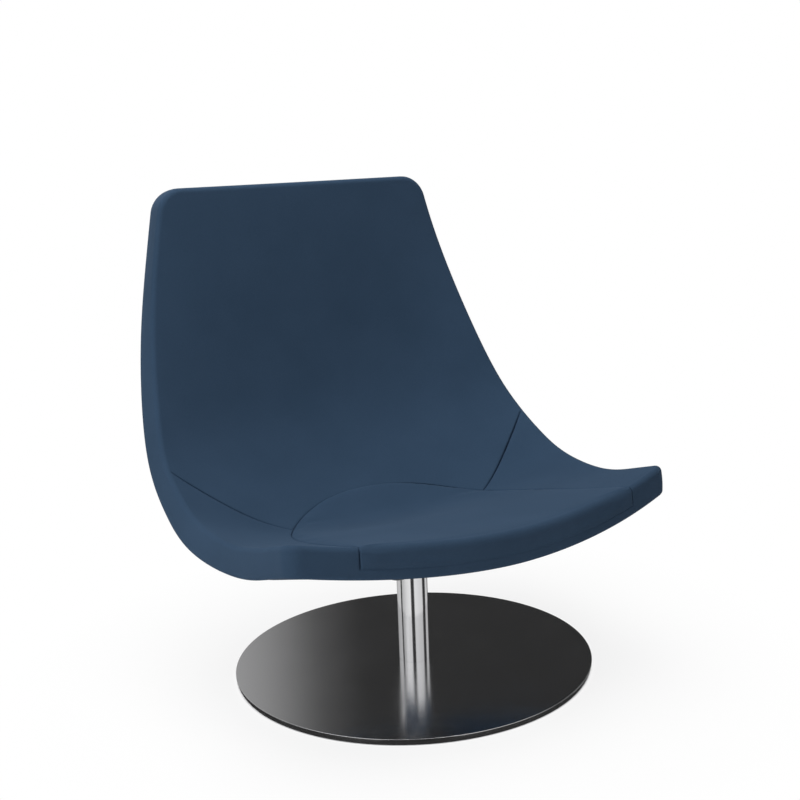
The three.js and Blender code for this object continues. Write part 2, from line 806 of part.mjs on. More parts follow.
// A layer over the given quads, with steps hung on the outline columns of the given parts, each from
// its first step on. topOf and bottomOf give the depth at a node, and pullOf stands it off a seam.
function layerSheet({ quads, topOf, bottomOf, firstSteps, topSteps, bottomSteps, pullOf }) {
  const tops = [];
  const bottoms = [];
  const numbers = new Map();
  const pull = pullOf ?? (() => new THREE.Vector3());
  const place = (number, depth) => {
    const { point, normal } = nodes[number];
    return point.clone().add(pull(number)).addScaledVector(normal, -depth);
  };
  const vertexOf = (number) => {
    if (!numbers.has(number)) {
      numbers.set(number, tops.length);
      tops.push(place(number, topOf(number)));
      bottoms.push(place(number, bottomOf(number)));
    }
    return numbers.get(number);
  };
  const faces = quads.map((quad) => quad.map(vertexOf));
  const ladders = columns.map((column) => {
    const ladder = [numbers.get(column.number)];
    topSteps.forEach((step, i) => {
      ladder.push(tops.length);
      tops.push(step(column).add(pull(column.number)));
      bottoms.push(bottomSteps[i](column).add(pull(column.number)));
    });
    return ladder;
  });
  columns.forEach((column, i) => {
    const here = ladders[i];
    const next = ladders[(i + 1) % columns.length];
    for (let k = firstSteps[column.part] ?? topSteps.length; k < topSteps.length; k += 1) {
      faces.push([here[k], next[k], next[k + 1], here[k + 1]]);
    }
  });
  return closedSheet(tops, bottoms, faces);
}

// Upholstery, foam and the moulded shell

const wholeRim = Object.fromEntries(Object.keys(outlineParts).map((part) => [part, 0]));

const coverTop = (number) => (seamNumbers.has(number) ? seamDip : 0) - nodes[number].crown;
const coverBottom = (number) => coverTop(number) + coverThickness;
const padFoamTop = (number) => coverBottom(number) + fitGap;
const padFoamBottom = (number) => (
  padFoamTop(number) + Math.max(padFoamEdge, padFoamThickness * nodes[number].fullness)
);
const foamTop = (number) => (
  padNumbers.has(number) ? padFoamBottom(number) + fitGap : coverBottom(number) + seamGap
);

function addCovers() {
  const coverOf = (quads, firstSteps, ends) => {
    const ladderOf = (inset, depthOf) => [
      ...faceEdgeSteps(inset, depthOf),
      ...ends.map((depth) => sideStep(inset, depth)),
    ];
    return layerSheet({
      quads,
      topOf: coverTop,
      bottomOf: coverBottom,
      firstSteps,
      topSteps: ladderOf(0, coverTop),
      bottomSteps: ladderOf(coverThickness, coverBottom),
      pullOf: pullsOf(quads),
    });
  };
  const backRim = { leftBack: 0, top: 0, rightBack: 0 };
  addPiece('back_cover', coverOf(backPatch.quads, backRim, [coverEndDepth]), cloth);
  addPiece('seat_pad_cover', coverOf(padPatch.quads, { padFront: 0 }, [padFlapDepth]), cloth);
  const borderRim = {
    leftSeat: 0, rightSeat: 0, rightFront: 0, leftFront: 0, padFront: roundSteps + 1,
  };
  const borderQuads = [...leftPatch.quads, ...rightPatch.quads];
  addPiece('seat_border_cover', coverOf(borderQuads, borderRim, [padLipDepth, coverEndDepth]), cloth);
}

function blockBox(margin, bottom, top) {
  const side = blockSize + 2 * margin;
  return new THREE.BoxGeometry(side, side, top - bottom).translate(0, 0, (top + bottom) / 2);
}

function addShellLayers() {
  const inside = { firstSteps: wholeRim, quads: allQuads };
  addPiece('seat_pad_foam', layerSheet({
    quads: padPatch.quads,
    topOf: padFoamTop,
    bottomOf: padFoamBottom,
    firstSteps: {},
    topSteps: [],
    bottomSteps: [],
    pullOf: pullsOf(padPatch.quads),
  }), foam);
  addPiece('front_foam', layerSheet({
    ...inside,
    topOf: foamTop,
    bottomOf: () => frontFoamBottomDepth,
    topSteps: faceEdgeSteps(layerInset, foamTop),
    bottomSteps: levelSteps(layerInset, () => frontFoamBottomDepth),
  }), foam);

  const level = (top, bottom) => layerSheet({
    ...inside,
    topOf: () => top,
    bottomOf: () => bottom,
    topSteps: levelSteps(layerInset, () => top),
    bottomSteps: levelSteps(layerInset, () => bottom),
  });
  const screws = squarePlaces(shellScrewPitch).map(([x, y]) => {
    const faceHeights = [-1, 1].map((side) => (
      layerHeight(x, y + side * (shellScrewHeadRadius + fitGap), plyDepth)
    ));
    return { x, y, top: Math.min(...faceHeights) };
  });
  const lowestTop = Math.min(...screws.map(({ top }) => top));
  const screwLength = lowestTop - blockBottom - shellScrewCover;
  const screwCutters = screws.map(({ x, y, top }) => {
    const headBottom = top - shellScrewHeadHeight;
    const head = shellScrewHeadRadius + fitGap;
    const shank = shellScrewRadius + fitGap;
    return turned([
      [0, top - screwLength - fitGap],
      [shank, top - screwLength - fitGap],
      [shank, headBottom],
      [head, top],
      [head, top + 2 * cutOverrun],
      [0, top + 2 * cutOverrun],
    ], boltSides).translate(x, y, 0);
  });
  addPiece('moulded_shell', cut(level(plyDepth, plyDepth + plyThickness), screwCutters), wood);

  const opening = blockBox(blockOpeningGap, plateBottom - cutOverrun, shellLowHeight);
  const chamferedDepth = (out) => (
    rearFoamBottomDepth - Math.max(out - (faceEdgeRadius - rearEdgeRadius), 0)
  );
  const rearFoam = layerSheet({
    ...inside,
    topOf: () => rearFoamDepth,
    bottomOf: () => rearFoamBottomDepth,
    topSteps: levelSteps(layerInset, () => rearFoamDepth),
    bottomSteps: levelSteps(layerInset, chamferedDepth),
  });
  addPiece('rear_foam', cut(rearFoam, [opening]), foam);
  const outerCover = layerSheet({
    ...inside,
    topOf: () => rearCoverDepth,
    bottomOf: () => shellThickness,
    topSteps: rearEdgeSteps(coverThickness),
    bottomSteps: rearEdgeSteps(0),
  });
  addPiece('outer_cover', cut(outerCover, [opening]), cloth);

  screws.forEach(({ x, y, top }, i) => {
    const profile = [
      [0, -screwLength],
      [shellScrewRadius, -screwLength],
      [shellScrewRadius, -shellScrewHeadHeight],
      [shellScrewHeadRadius, 0],
      [0, 0],
    ];
    addPiece(`shell_screw_${i + 1}`, turned(profile, boltSides), zinc, [x, y, top]);
  });
  return screwCutters;
}

// Seat block, plate and bolts

function addSeatMount(screwCutters) {
  const aboveBlock = layerSheet({
    quads: allQuads,
    firstSteps: {},
    topSteps: [],
    bottomSteps: [],
    topOf: () => -cutOverrun,
    bottomOf: () => rearFoamDepth,
  });
  const insertBore = seatBoltRadius + fitGap;
  const insertRadius = insertBore + insertWall;
  const flangeRadius = insertRadius + insertFlange;
  const boreTop = Math.max(blockBottom + insertLength, seatBoltTip) + fitGap;
  const insertCutter = turned([
    [0, blockBottom - cutOverrun],
    [flangeRadius + fitGap, blockBottom - cutOverrun],
    [flangeRadius + fitGap, blockBottom + insertFlangeThickness + fitGap],
    [insertRadius + fitGap, blockBottom + insertFlangeThickness + fitGap],
    [insertRadius + fitGap, boreTop],
    [0, boreTop],
  ], boltSides);
  const boltPlaces = squarePlaces(seatBoltPitch);
  const block = blockBox(0, blockBottom, shellLowHeight);
  addPiece('seat_block', cut(block, [
    aboveBlock,
    ...screwCutters,
    ...boltPlaces.map(([x, y]) => insertCutter.clone().translate(x, y, 0)),
  ]), wood);

  const half = plateSize / 2;
  const inner = half - plateCornerRadius;
  const outlineShape = new THREE.Shape();
  squarePlaces(2 * inner).forEach(([x, y], i) => {
    const start = Math.PI + (i * Math.PI) / 2;
    outlineShape.absarc(x, y, plateCornerRadius, start, start + Math.PI / 2);
  });
  const holeAt = (x, y, radius) => {
    const hole = new THREE.Path();
    hole.absarc(x, y, radius, 0, 2 * Math.PI);
    outlineShape.holes.push(hole);
  };
  boltPlaces.forEach(([x, y]) => holeAt(x, y, seatBoltRadius + fitGap));
  const plateOptions = { depth: plateThickness, bevelEnabled: false, curveSegments: plateCornerSteps };
  const plate = new THREE.ExtrudeGeometry(outlineShape, plateOptions).translate(0, 0, plateBottom);
  const hub = rod(hubRadius, hubBottom, plateBottom + plateThickness / 2, columnSides);
  const bore = rod(spindleRadius + fitGap, hubBottom - cutOverrun, plateTop + cutOverrun, columnSides);
  addPiece('seat_plate', cut(join(plate, hub), [bore]), steel);

  const insertProfile = [
    [insertBore, 0],
    [flangeRadius, 0],
    [flangeRadius, insertFlangeThickness],
    [insertRadius, insertFlangeThickness],
    [insertRadius, insertLength],
    [insertBore, insertLength],
  ];
  const head = rod(seatBoltHeadRadius, -seatBoltHeadHeight, 0, hexagonSides);
  const shank = rod(seatBoltRadius, -seatBoltHeadHeight / 2, seatBoltLength, boltSides);
  const bolt = join(head, shank);
  boltPlaces.forEach(([x, y], i) => {
    const washer = ring(seatBoltRadius + fitGap, seatWasherRadius, 0, seatWasherThickness, boltSides);
    addPiece(`seat_bolt_${i + 1}`, bolt, zinc, [x, y, seatBoltSeat]);
    addPiece(`seat_bolt_washer_${i + 1}`, washer, zinc, [x, y, seatWasherBottom]);
    addPiece(`threaded_insert_${i + 1}`, turned(insertProfile, boltSides), zinc, [x, y, blockBottom]);
  });
}

addBase();
addBearing();
addCovers();
const screwCutters = addShellLayers();
addSeatMount(screwCutters);

export default chair;
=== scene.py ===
# Pedestal swivel armchair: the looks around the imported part.
# Metres, +Z up. The swivel axis is Z, the floor is z = 0 and the chair faces -Y.

import json
import math

import bmesh
import bpy
import numpy as np
from mathutils import Matrix, Vector


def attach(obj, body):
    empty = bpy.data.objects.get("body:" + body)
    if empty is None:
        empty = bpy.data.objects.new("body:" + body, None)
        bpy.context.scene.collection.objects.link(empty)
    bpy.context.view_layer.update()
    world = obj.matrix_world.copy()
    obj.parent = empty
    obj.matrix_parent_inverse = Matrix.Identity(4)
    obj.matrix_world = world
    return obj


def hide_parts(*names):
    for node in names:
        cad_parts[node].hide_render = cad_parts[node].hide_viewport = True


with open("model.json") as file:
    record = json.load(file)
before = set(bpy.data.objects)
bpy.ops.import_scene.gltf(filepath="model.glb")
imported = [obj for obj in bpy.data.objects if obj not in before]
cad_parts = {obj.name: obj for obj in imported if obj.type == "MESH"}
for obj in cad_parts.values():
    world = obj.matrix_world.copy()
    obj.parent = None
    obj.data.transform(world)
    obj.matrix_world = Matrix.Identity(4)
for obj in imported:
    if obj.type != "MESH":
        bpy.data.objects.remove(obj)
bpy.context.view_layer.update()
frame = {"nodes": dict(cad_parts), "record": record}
scene = bpy.context.scene
print("frame loaded")


# Shader expressions

class Socket:                                   # an output that takes part in Python expressions
    def __init__(self, finish, socket):
        self.finish, self.socket = finish, socket

    def math(self, operation, first, second):
        return self.finish.node("ShaderNodeMath", {"operation": operation}, {0: first, 1: second})

    def __add__(self, other):
        return self.math("ADD", self, other)

    def __radd__(self, other):
        return self.math("ADD", other, self)

    def __sub__(self, other):
        return self.math("SUBTRACT", self, other)

    def __rsub__(self, other):
        return self.math("SUBTRACT", other, self)

    def __mul__(self, other):
        return self.math("MULTIPLY", self, other)

    def __rmul__(self, other):
        return self.math("MULTIPLY", other, self)


class Finish:                                   # the node tree of one material or world
    def __init__(self, owner):
        owner.use_nodes = True
        self.owner, self.tree = owner, owner.node_tree
        self.tree.nodes.clear()

    def node(self, kind, settings=None, inputs=None, output=0):
        made = self.tree.nodes.new(kind)
        for key, value in (settings or {}).items():
            if key == "stops":
                ramp = made.color_ramp.elements
                while len(ramp) < len(value):
                    ramp.new(0.5)
                for element, (place, tone) in zip(ramp, value):
                    element.position, element.color = place, tone
            else:
                setattr(made, key, value)
        for key, value in (inputs or {}).items():
            if isinstance(value, Socket):
                self.tree.links.new(value.socket, made.inputs[key])
            else:
                made.inputs[key].default_value = value
        return Socket(self, made.outputs[output]) if made.outputs else None

    def objectPlace(self):
        return self.node("ShaderNodeTexCoord", output="Object")

    def stretched(self, place, factors):
        return self.node("ShaderNodeVectorMath", {"operation": "MULTIPLY"}, {0: place, 1: factors})

    def levelRadius(self, place):               # distance from the swivel axis
        level = self.stretched(place, (1.0, 1.0, 0.0))
        return self.node("ShaderNodeVectorMath", {"operation": "LENGTH"}, {0: level}, 1)

    def noise(self, place, scale, detail=2.0, roughness=0.5):
        values = {"Vector": place, "Scale": scale, "Detail": detail, "Roughness": roughness}
        return self.node("ShaderNodeTexNoise", {}, values)

    def remap(self, value, fromLow, fromHigh, toLow, toHigh):
        values = {1: fromLow, 2: fromHigh, 3: toLow, 4: toHigh}
        return self.node("ShaderNodeMapRange", {}, {0: value, **values})

    def mixColours(self, factor, first, second):
        colours = {0: factor, 6: first, 7: second}
        return self.node("ShaderNodeMix", {"data_type": "RGBA"}, colours, 2)

    def bump(self, height, distance, strength=1.0):
        values = {"Height": height, "Distance": distance, "Strength": strength}
        return self.node("ShaderNodeBump", {}, values)

    def output(self, shader):
        forWorld = isinstance(self.owner, bpy.types.World)
        kind = "ShaderNodeOutputWorld" if forWorld else "ShaderNodeOutputMaterial"
        self.node(kind, {}, {"Surface": shader})
        return self.owner


def newFinish(name):
    return Finish(bpy.data.materials.new(name))


def colour(red, green, blue):
    return (red, green, blue, 1.0)


# Finishes

cloth = {
    "light": colour(0.030, 0.058, 0.102),
    "dark": colour(0.020, 0.042, 0.076),
    "toneRange": (0.32, 0.68),                  # of the noise, from the dark tone to the light
    "melangeScale": 900.0,                      # single fibres, a little over a millimetre
    "patchScale": 9.0,                          # slow change of tone from one place to the next
    "patchShare": 0.25,
    "crease": 0.84,                             # how far a deep seam's colour is taken to the painted crease shade
    # painted shade: the dark colour that stands for the shadow down in a seam's crease
    "creaseShadeColour": colour(0.0045, 0.016, 0.040),
    "threadPitch": 0.0013,
    "threadHeight": 0.00012,
    "weaveRelief": 0.15,
    "fibreRelief": 1.5,
    "relief": 0.6,
    "roughness": 0.92,
    "specular": 0.10,
    "sheen": 0.05,
    "sheenRoughness": 0.42,
    "sheenTint": colour(0.55, 0.68, 0.86),
}


def threads(finish, place, pitch):              # a lattice that looks woven on any surface
    turn = 2 * math.pi / pitch
    at = finish.node("ShaderNodeSeparateXYZ", {}, {0: place})
    waves = []
    for axis in range(3):
        along = Socket(finish, at.socket.node.outputs[axis])
        waves.append(finish.node("ShaderNodeMath", {"operation": "SINE"}, {0: along * turn}))
    x, y, z = waves
    return x * y + y * z + z * x


def clothFinish(name):
    finish = newFinish(name)
    place = finish.objectPlace()
    fibres = finish.noise(place, cloth["melangeScale"], 3.0, 0.6)
    patches = finish.noise(place, cloth["patchScale"])
    weave = threads(finish, place, cloth["threadPitch"])
    grain = fibres * (1 - cloth["patchShare"]) + patches * cloth["patchShare"]
    tone = finish.remap(grain, *cloth["toneRange"], 0.0, 1.0)
    melange = finish.mixColours(tone, cloth["dark"], cloth["light"])
    # painted shade: the crease attribute darkens the cloth down in its seams
    crease = finish.node("ShaderNodeAttribute", {"attribute_name": "crease"}, output="Fac")
    relief = weave * cloth["weaveRelief"] + fibres * cloth["fibreRelief"]
    shader = finish.node("ShaderNodeBsdfPrincipled", {}, {
        "Base Color": finish.mixColours(crease * cloth["crease"], melange, cloth["creaseShadeColour"]),
        "Roughness": cloth["roughness"],
        "Specular IOR Level": cloth["specular"],
        "Sheen Weight": cloth["sheen"],
        "Sheen Roughness": cloth["sheenRoughness"],
        "Sheen Tint": cloth["sheenTint"],
        "Normal": finish.bump(relief, cloth["threadHeight"], cloth["relief"]),
    })
    return finish.output(shader)


metal = {
    "discColour": colour(0.74, 0.74, 0.75),
    "discRoughness": (0.12, 0.18),
    "discClouds": 11.0,                         # scale of the slow change in the polish
    "discGrain": 0.2,                           # share of the polishing lines in the roughness
    "discRelief": 0.3,
    "columnColour": colour(0.78, 0.78, 0.79),
    "columnRoughness": (0.09, 0.13),
    "columnClouds": 25.0,
    "columnGrain": 0.4,
    "columnRelief": 0.25,
    "columnStretch": (1.0, 1.0, 0.02),          # makes the lines run along the tube
    "grainPitch": 0.0006,                       # distance between polishing lines
    "grainHeight": 0.000004,
}
noiseRange = (0.3, 0.7)                         # most of a noise lies between these


def satinDisc():                                # polished in circles about the column
    finish = newFinish("satinDisc")
    place = finish.objectPlace()
    radius = finish.levelRadius(place)
    rings = finish.node("ShaderNodeTexNoise", {"noise_dimensions": "1D"}, {
        "W": radius, "Scale": 1 / metal["grainPitch"], "Detail": 2.0,
    })
    clouds = finish.noise(place, metal["discClouds"], 3.0)
    polish = clouds * (1 - metal["discGrain"]) + rings * metal["discGrain"]
    shader = finish.node("ShaderNodeBsdfPrincipled", {}, {
        "Base Color": metal["discColour"],
        "Metallic": 1.0,
        "Roughness": finish.remap(polish, *noiseRange, *metal["discRoughness"]),
        "Normal": finish.bump(rings, metal["grainHeight"], metal["discRelief"]),
    })
    return finish.output(shader)


def satinTube():                                # drawn tube with fine lines along it
    finish = newFinish("satinTube")
    place = finish.objectPlace()
    drawn = finish.stretched(place, metal["columnStretch"])
    lines = finish.noise(drawn, 1 / metal["grainPitch"])
    clouds = finish.noise(place, metal["columnClouds"])
    polish = clouds * (1 - metal["columnGrain"]) + lines * metal["columnGrain"]
    shader = finish.node("ShaderNodeBsdfPrincipled", {}, {
        "Base Color": metal["columnColour"],
        "Metallic": 1.0,
        "Roughness": finish.remap(polish, *noiseRange, *metal["columnRoughness"]),
        "Normal": finish.bump(lines, metal["grainHeight"], metal["columnRelief"]),
    })
    return finish.output(shader)


# Light tone, dark tone, metallic, roughness, and the scale and stretch of the pattern
hidden = {
    "dark_steel": (
        colour(0.16, 0.165, 0.17), colour(0.11, 0.113, 0.118),
        0.9, (0.40, 0.55), 60.0, (1, 1, 1),
    ),
    "zinc_steel": (
        colour(0.62, 0.61, 0.58), colour(0.48, 0.48, 0.47),
        1.0, (0.28, 0.42), 220.0, (1, 1, 1),
    ),
    "nylon": (
        colour(0.76, 0.74, 0.68), colour(0.70, 0.68, 0.62),
        0.0, (0.42, 0.52), 90.0, (1, 1, 1),
    ),
    "felt": (
        colour(0.032, 0.033, 0.036), colour(0.014, 0.015, 0.017),
        0.0, (0.94, 1.0), 900.0, (1, 1, 1),
    ),
    "plywood": (
        colour(0.52, 0.34, 0.18), colour(0.40, 0.24, 0.12),
        0.0, (0.55, 0.70), 70.0, (0.15, 1, 4),
    ),
    "foam": (
        colour(0.70, 0.62, 0.44), colour(0.60, 0.52, 0.36),
        0.0, (0.92, 1.0), 700.0, (1, 1, 1),
    ),
}
hiddenRelief = {"height": 0.0001, "strength": 0.4}


def hiddenFinish(slotName):
    light, dark, metallic, roughness, scale, stretch = hidden[slotName]
    finish = newFinish("hidden_" + slotName)
    place = finish.stretched(finish.objectPlace(), stretch)
    grain = finish.noise(place, scale, 4.0, 0.6)
    tone = finish.remap(grain, *noiseRange, 0.0, 1.0)
    shader = finish.node("ShaderNodeBsdfPrincipled", {}, {
        "Base Color": finish.mixColours(tone, dark, light),
        "Metallic": metallic,
        "Roughness": finish.remap(grain, *noiseRange, *roughness),
        "Normal": finish.bump(grain, hiddenRelief["height"], hiddenRelief["strength"]),
    })
    return finish.output(shader)


print("finishes made")


# The sheet that the upholstered shell follows

shell = {
    "lowPoint": 0.281,                          # height of the face's lowest point
    "rise": 0.650,
    "halfWidth": 0.419,
    "backReach": 0.418,
    "frontReach": 0.362,
    "crossPower": (2.1, 1.85),                  # of the cross curve, at the back and in front
    "thickness": 0.055,
    "faceRound": 0.010,
    "rearRound": 0.009,
    "topCorner": 0.045,
    "frontCorner": 0.026,
    "uprightStart": 0.7,                        # from here forward the layers turn upright
    "upright": 0.85,
}

# Shares at ten stations from the top edge to the front edge
stations = {
    "centreY": [1, 0.969, 0.921, 0.828, 0.655, 0.402, 0.144, -0.249, -0.653, -1.015],
    "centreZ": [1, 0.806, 0.573, 0.354, 0.185, 0.055, 0, 0.05, 0.096, 0.131],
    "rimX": [0.713, 0.783, 0.866, 0.935, 0.974, 0.983, 0.983, 0.969, 0.953, 0.938],
    "rimY": [1, 0.959, 0.844, 0.66, 0.49, 0.318, 0.098, -0.26, -0.55, -0.80],
    "rimZ": [1, 0.806, 0.573, 0.351, 0.233, 0.168, 0.12, 0.113, 0.150, 0.193],
}
slopeStep = 0.001
searchSteps = 14


def smoothCurve(values):                        # natural cubic spline through evenly spaced values
    last = len(values) - 1
    bends, ratios = np.zeros(last + 1), np.zeros(last + 1)
    for i in range(1, last):
        pull = 6 * (values[i - 1] - 2 * values[i] + values[i + 1])
        ratios[i] = 1 / (4 - ratios[i - 1])
        bends[i] = (pull - bends[i - 1]) * ratios[i]
    for i in range(last - 1, 0, -1):
        bends[i] -= ratios[i] * bends[i + 1]

    def at(t):
        i = np.clip(np.floor(t * last), 0, last - 1).astype(int)
        after = t * last - i
        before = 1 - after
        bend = (before**3 - before) * bends[i] + (after**3 - after) * bends[i + 1]
        return before * values[i] + after * values[i + 1] + bend / 6

    return at


def mix(first, second, share):
    return first + (second - first) * share


def length(vectors):
    return np.linalg.norm(vectors, axis=-1)


def unit(vectors):
    return vectors / np.linalg.norm(vectors, axis=-1, keepdims=True)


def toPlace(name):
    values = np.array(stations[name], float)
    if name.endswith("X"):
        return smoothCurve(values * shell["halfWidth"])
    if name.endswith("Y"):
        return smoothCurve(values * np.where(values < 0, shell["frontReach"], shell["backReach"]))
    return smoothCurve(shell["lowPoint"] + values * shell["rise"])


curve = {name: toPlace(name) for name in stations}


def nearFront(t):                               # 0 up to uprightStart, and 1 at the front edge
    return np.clip((t - shell["uprightStart"]) / (1 - shell["uprightStart"]), 0, 1)


def facePoint(t, v):                            # t from the top to the front edge, v across
    lift = np.abs(v) ** mix(*shell["crossPower"], nearFront(t) ** 2)
    return np.stack([
        curve["rimX"](t) * v,
        mix(curve["centreY"](t), curve["rimY"](t), lift),
        mix(curve["centreZ"](t), curve["rimZ"](t), lift),
    ], -1)


def slopeAlong(t, v):
    return (facePoint(t + slopeStep, v) - facePoint(t - slopeStep, v)) / (2 * slopeStep)


def slopeAcross(t, v):
    return (facePoint(t, v + slopeStep) - facePoint(t, v - slopeStep)) / (2 * slopeStep)


zero, one = np.zeros(1), np.ones(1)


def cornerAt(t, radius, slope):                 # a corner of the field, and its size there
    width = float(curve["rimX"](t)[0]) - shell["faceRound"]
    return {"radius": radius - shell["faceRound"], "width": width, "reach": float(length(slope)[0])}


topCorner = cornerAt(zero, shell["topCorner"], slopeAlong(zero, zero))
frontCorner = cornerAt(one, shell["frontCorner"], slopeAlong(one, one))


def roundCorner(fromEdge, b, corner):           # presses the square grid into the corner's arc
    radius, reach, width = corner["radius"], corner["reach"], corner["width"]
    p = radius - (1 - np.abs(b)) * width
    q = radius - fromEdge * reach
    rounded = (p > 0) & (q > 0)
    p, q = np.where(rounded, p, 0), np.where(rounded, q, 0)
    across = p * np.sqrt(1 - q**2 / (2 * radius**2))
    along = q * np.sqrt(1 - p**2 / (2 * radius**2))
    fromEdge = np.where(rounded, (radius - along) / reach, fromEdge)
    return fromEdge, np.where(rounded, np.sign(b) * (1 - (radius - across) / width), b)


def fieldFrame(a, b):                           # point and normal inside the rounded edge
    a, b = np.broadcast_arrays(np.asarray(a, float), np.asarray(b, float))
    fromTop, b = roundCorner(a, b, topCorner)
    fromFront, b = roundCorner(1 - a, b, frontCorner)
    along = np.where(a < seat["dartRim"], fromTop, 1 - fromFront)
    start = shell["faceRound"] / length(slopeAlong(np.zeros_like(b), b))
    end = 1 - shell["faceRound"] / length(slopeAlong(np.ones_like(b), b))
    t = mix(start, end, along)
    v = b * (1 - shell["faceRound"] / length(slopeAcross(t, np.sign(b))))
    normal = unit(np.cross(slopeAlong(t, v), slopeAcross(t, v)))
    turned = nearFront(a)
    lean = 1 - shell["upright"] * turned**2 * (3 - 2 * turned)
    return facePoint(t, v), unit(normal * np.stack([lean, lean, np.ones_like(lean)], -1))


def fieldPoint(a, b):
    return fieldFrame(a, b)[0]


def locate(x, y):                               # the field places that stand at x, y in plan
    place = np.stack([np.full_like(x, seat["dartRim"]), x / shell["halfWidth"]], -1)
    for _ in range(searchSteps):
        here = fieldPoint(place[:, 0], place[:, 1])
        alongA = (fieldPoint(place[:, 0] + slopeStep, place[:, 1]) - here) / slopeStep
        alongB = (fieldPoint(place[:, 0], place[:, 1] + slopeStep) - here) / slopeStep
        area = alongA[:, 0] * alongB[:, 1] - alongA[:, 1] * alongB[:, 0]
        missX, missY = x - here[:, 0], y - here[:, 1]
        place[:, 0] += (missX * alongB[:, 1] - missY * alongB[:, 0]) / area
        place[:, 1] += (alongA[:, 0] * missY - alongA[:, 1] * missX) / area
    return place


# Seams in plan

seat = {
    "padHalfWidth": 0.274,
    "padFrontHalfWidth": 0.280,
    "padRearY": 0.177,
    "padCentreY": -0.150,
    "padTurn": 0.45,
    "padPower": 2.2,                            # 2 makes the pad's rear outline an ellipse
    "padCrown": 0.0045,
    "stand": 0.0018,                            # how far the pad stands above its border
    "standWidth": 0.0020,
    "standRise": 0.125,                         # share of the pad's length to the full stand
    "flapStand": 0.3,                           # share of the stand left where the flap ends
    "dartEnd": 0.77,
    "dartRim": 0.472,
    "lipDepth": 0.034,                          # where the pad's flap ends below the face
}
dartAngle = math.asin(seat["dartEnd"])
padFrontB = seat["padFrontHalfWidth"] / frontCorner["width"]


def padOutline(angle):
    rear = seat["padRearY"] - seat["padCentreY"]
    across = np.sign(angle) * np.abs(np.sin(angle)) ** (2 / seat["padPower"])
    behind = np.maximum(np.cos(angle), 0) ** (2 / seat["padPower"])
    return seat["padHalfWidth"] * across, seat["padCentreY"] + rear * behind


def dartPlaces(shares):                         # from the rim to the pad, on the right
    rim = fieldPoint(seat["dartRim"] * one, one)[0]
    endX, endY = padOutline(dartAngle)
    places = locate(mix(rim[0], endX, shares), mix(rim[1], endY, shares))
    places[shares == 0] = seat["dartRim"], 1
    return places


def padRearPlaces(shares):                      # from the left corner to the right one
    return locate(*padOutline(dartAngle * (2 * shares - 1)))


def padSidePlaces(shares):                      # from the right rear corner to the front edge
    turned = np.minimum(shares / seat["padTurn"], 1)
    x, y = padOutline(mix(dartAngle, math.pi / 2, turned))
    front = fieldPoint(one, padFrontB * one)[0]
    ahead = np.clip((shares - seat["padTurn"]) / (1 - seat["padTurn"]), 0, 1)
    places = locate(mix(x, front[0], ahead), mix(y, front[1], ahead))
    places[shares == 1] = 1, padFrontB
    return places


# Panels of the field

spacing = {
    "coarse": 0.0075,
    "seam": 0.00045,                            # beside a seam
    "corner": 0.0020,                           # beside a rounded corner
    "growth": 0.18,
    "upperSkirt": 0.004,                        # coarsest on the side above the lip, and below it
    "lowerSkirt": 0.003,
    "hem": 0.003,
    "outer": 0.010,                             # coarsest on the outer cloth
    "samples": 4001,
}
seamStep, cornerStep = spacing["seam"], spacing["corner"]

# Rough lengths, from which the rows and columns are counted
spans = {
    "back": 0.64,
    "dart": 0.14,
    "pad": 0.56,
    "seat": 0.50,
    "outerDown": 1.2,
    "outerAcross": 0.8,
}


def gradedShares(span, start=1.0, end=1.0, coarse=spacing["coarse"]):
    along = np.linspace(0, span, spacing["samples"])
    fromStart, fromEnd = start + spacing["growth"] * along, end + spacing["growth"] * (span - along)
    density = 1 / np.minimum(np.minimum(fromStart, fromEnd), coarse)
    done = np.concatenate([[0], np.cumsum((density[1:] + density[:-1]) / 2 * np.diff(along))])
    count = math.ceil(done[-1])
    shares = np.interp(np.linspace(0, done[-1], count + 1), done, along) / span
    shares[0], shares[-1] = 0, 1
    return shares


def coonsPatch(first, last, left, right, down, over):
    d, o = down[:, None, None], over[None, :, None]
    rows = mix(first[None], last[None], d)
    columns = mix(left[:, None], right[:, None], o)
    corners = mix(mix(first[0], first[-1], o), mix(last[0], last[-1], o), d)
    return rows + columns - corners


def mirrored(places):
    return places * (1, -1)


def rowOf(a, b):
    return np.stack(np.broadcast_arrays(a, b), -1).astype(float)


backRows = gradedShares(spans["back"], cornerStep, seamStep)
dartColumns = gradedShares(spans["dart"], cornerStep, seamStep)
padColumns = gradedShares(spans["pad"], seamStep, seamStep)
seatRows = gradedShares(spans["seat"], seamStep, cornerStep)

rightDart = dartPlaces(dartColumns)
rearArc = padRearPlaces(padColumns)
rightPadSide = padSidePlaces(seatRows)
backBottom = np.concatenate([mirrored(rightDart), rearArc[1:-1], rightDart[::-1]])
backOver = np.concatenate([                     # above the left dart, the pad, the right dart
    dartColumns / 4,
    0.25 + padColumns[1:-1] / 2,
    1 - dartColumns[::-1] / 4,
])
backTop = rowOf(0.0, 2 * backOver - 1)
backSide = rowOf(backRows * seat["dartRim"], 1.0)
rimSide = rowOf(mix(seat["dartRim"], 1, seatRows), 1.0)
frontOuter = rowOf(1.0, mix(1, padFrontB, dartColumns))
frontInner = rowOf(1.0, (2 * padColumns - 1) * padFrontB)

backPlaces = coonsPatch(
    backTop, backBottom, mirrored(backSide), backSide, backRows, backOver,
)
padPlaces = coonsPatch(
    rearArc, frontInner, mirrored(rightPadSide), rightPadSide, seatRows, padColumns,
)
rightPlaces = coonsPatch(
    rightDart[::-1], frontOuter[::-1], rightPadSide, rimSide, seatRows, 1 - dartColumns[::-1],
)
leftPlaces = mirrored(rightPlaces[:, ::-1])


# The edge of the sheet: a column stands at each outline place and points out of the field

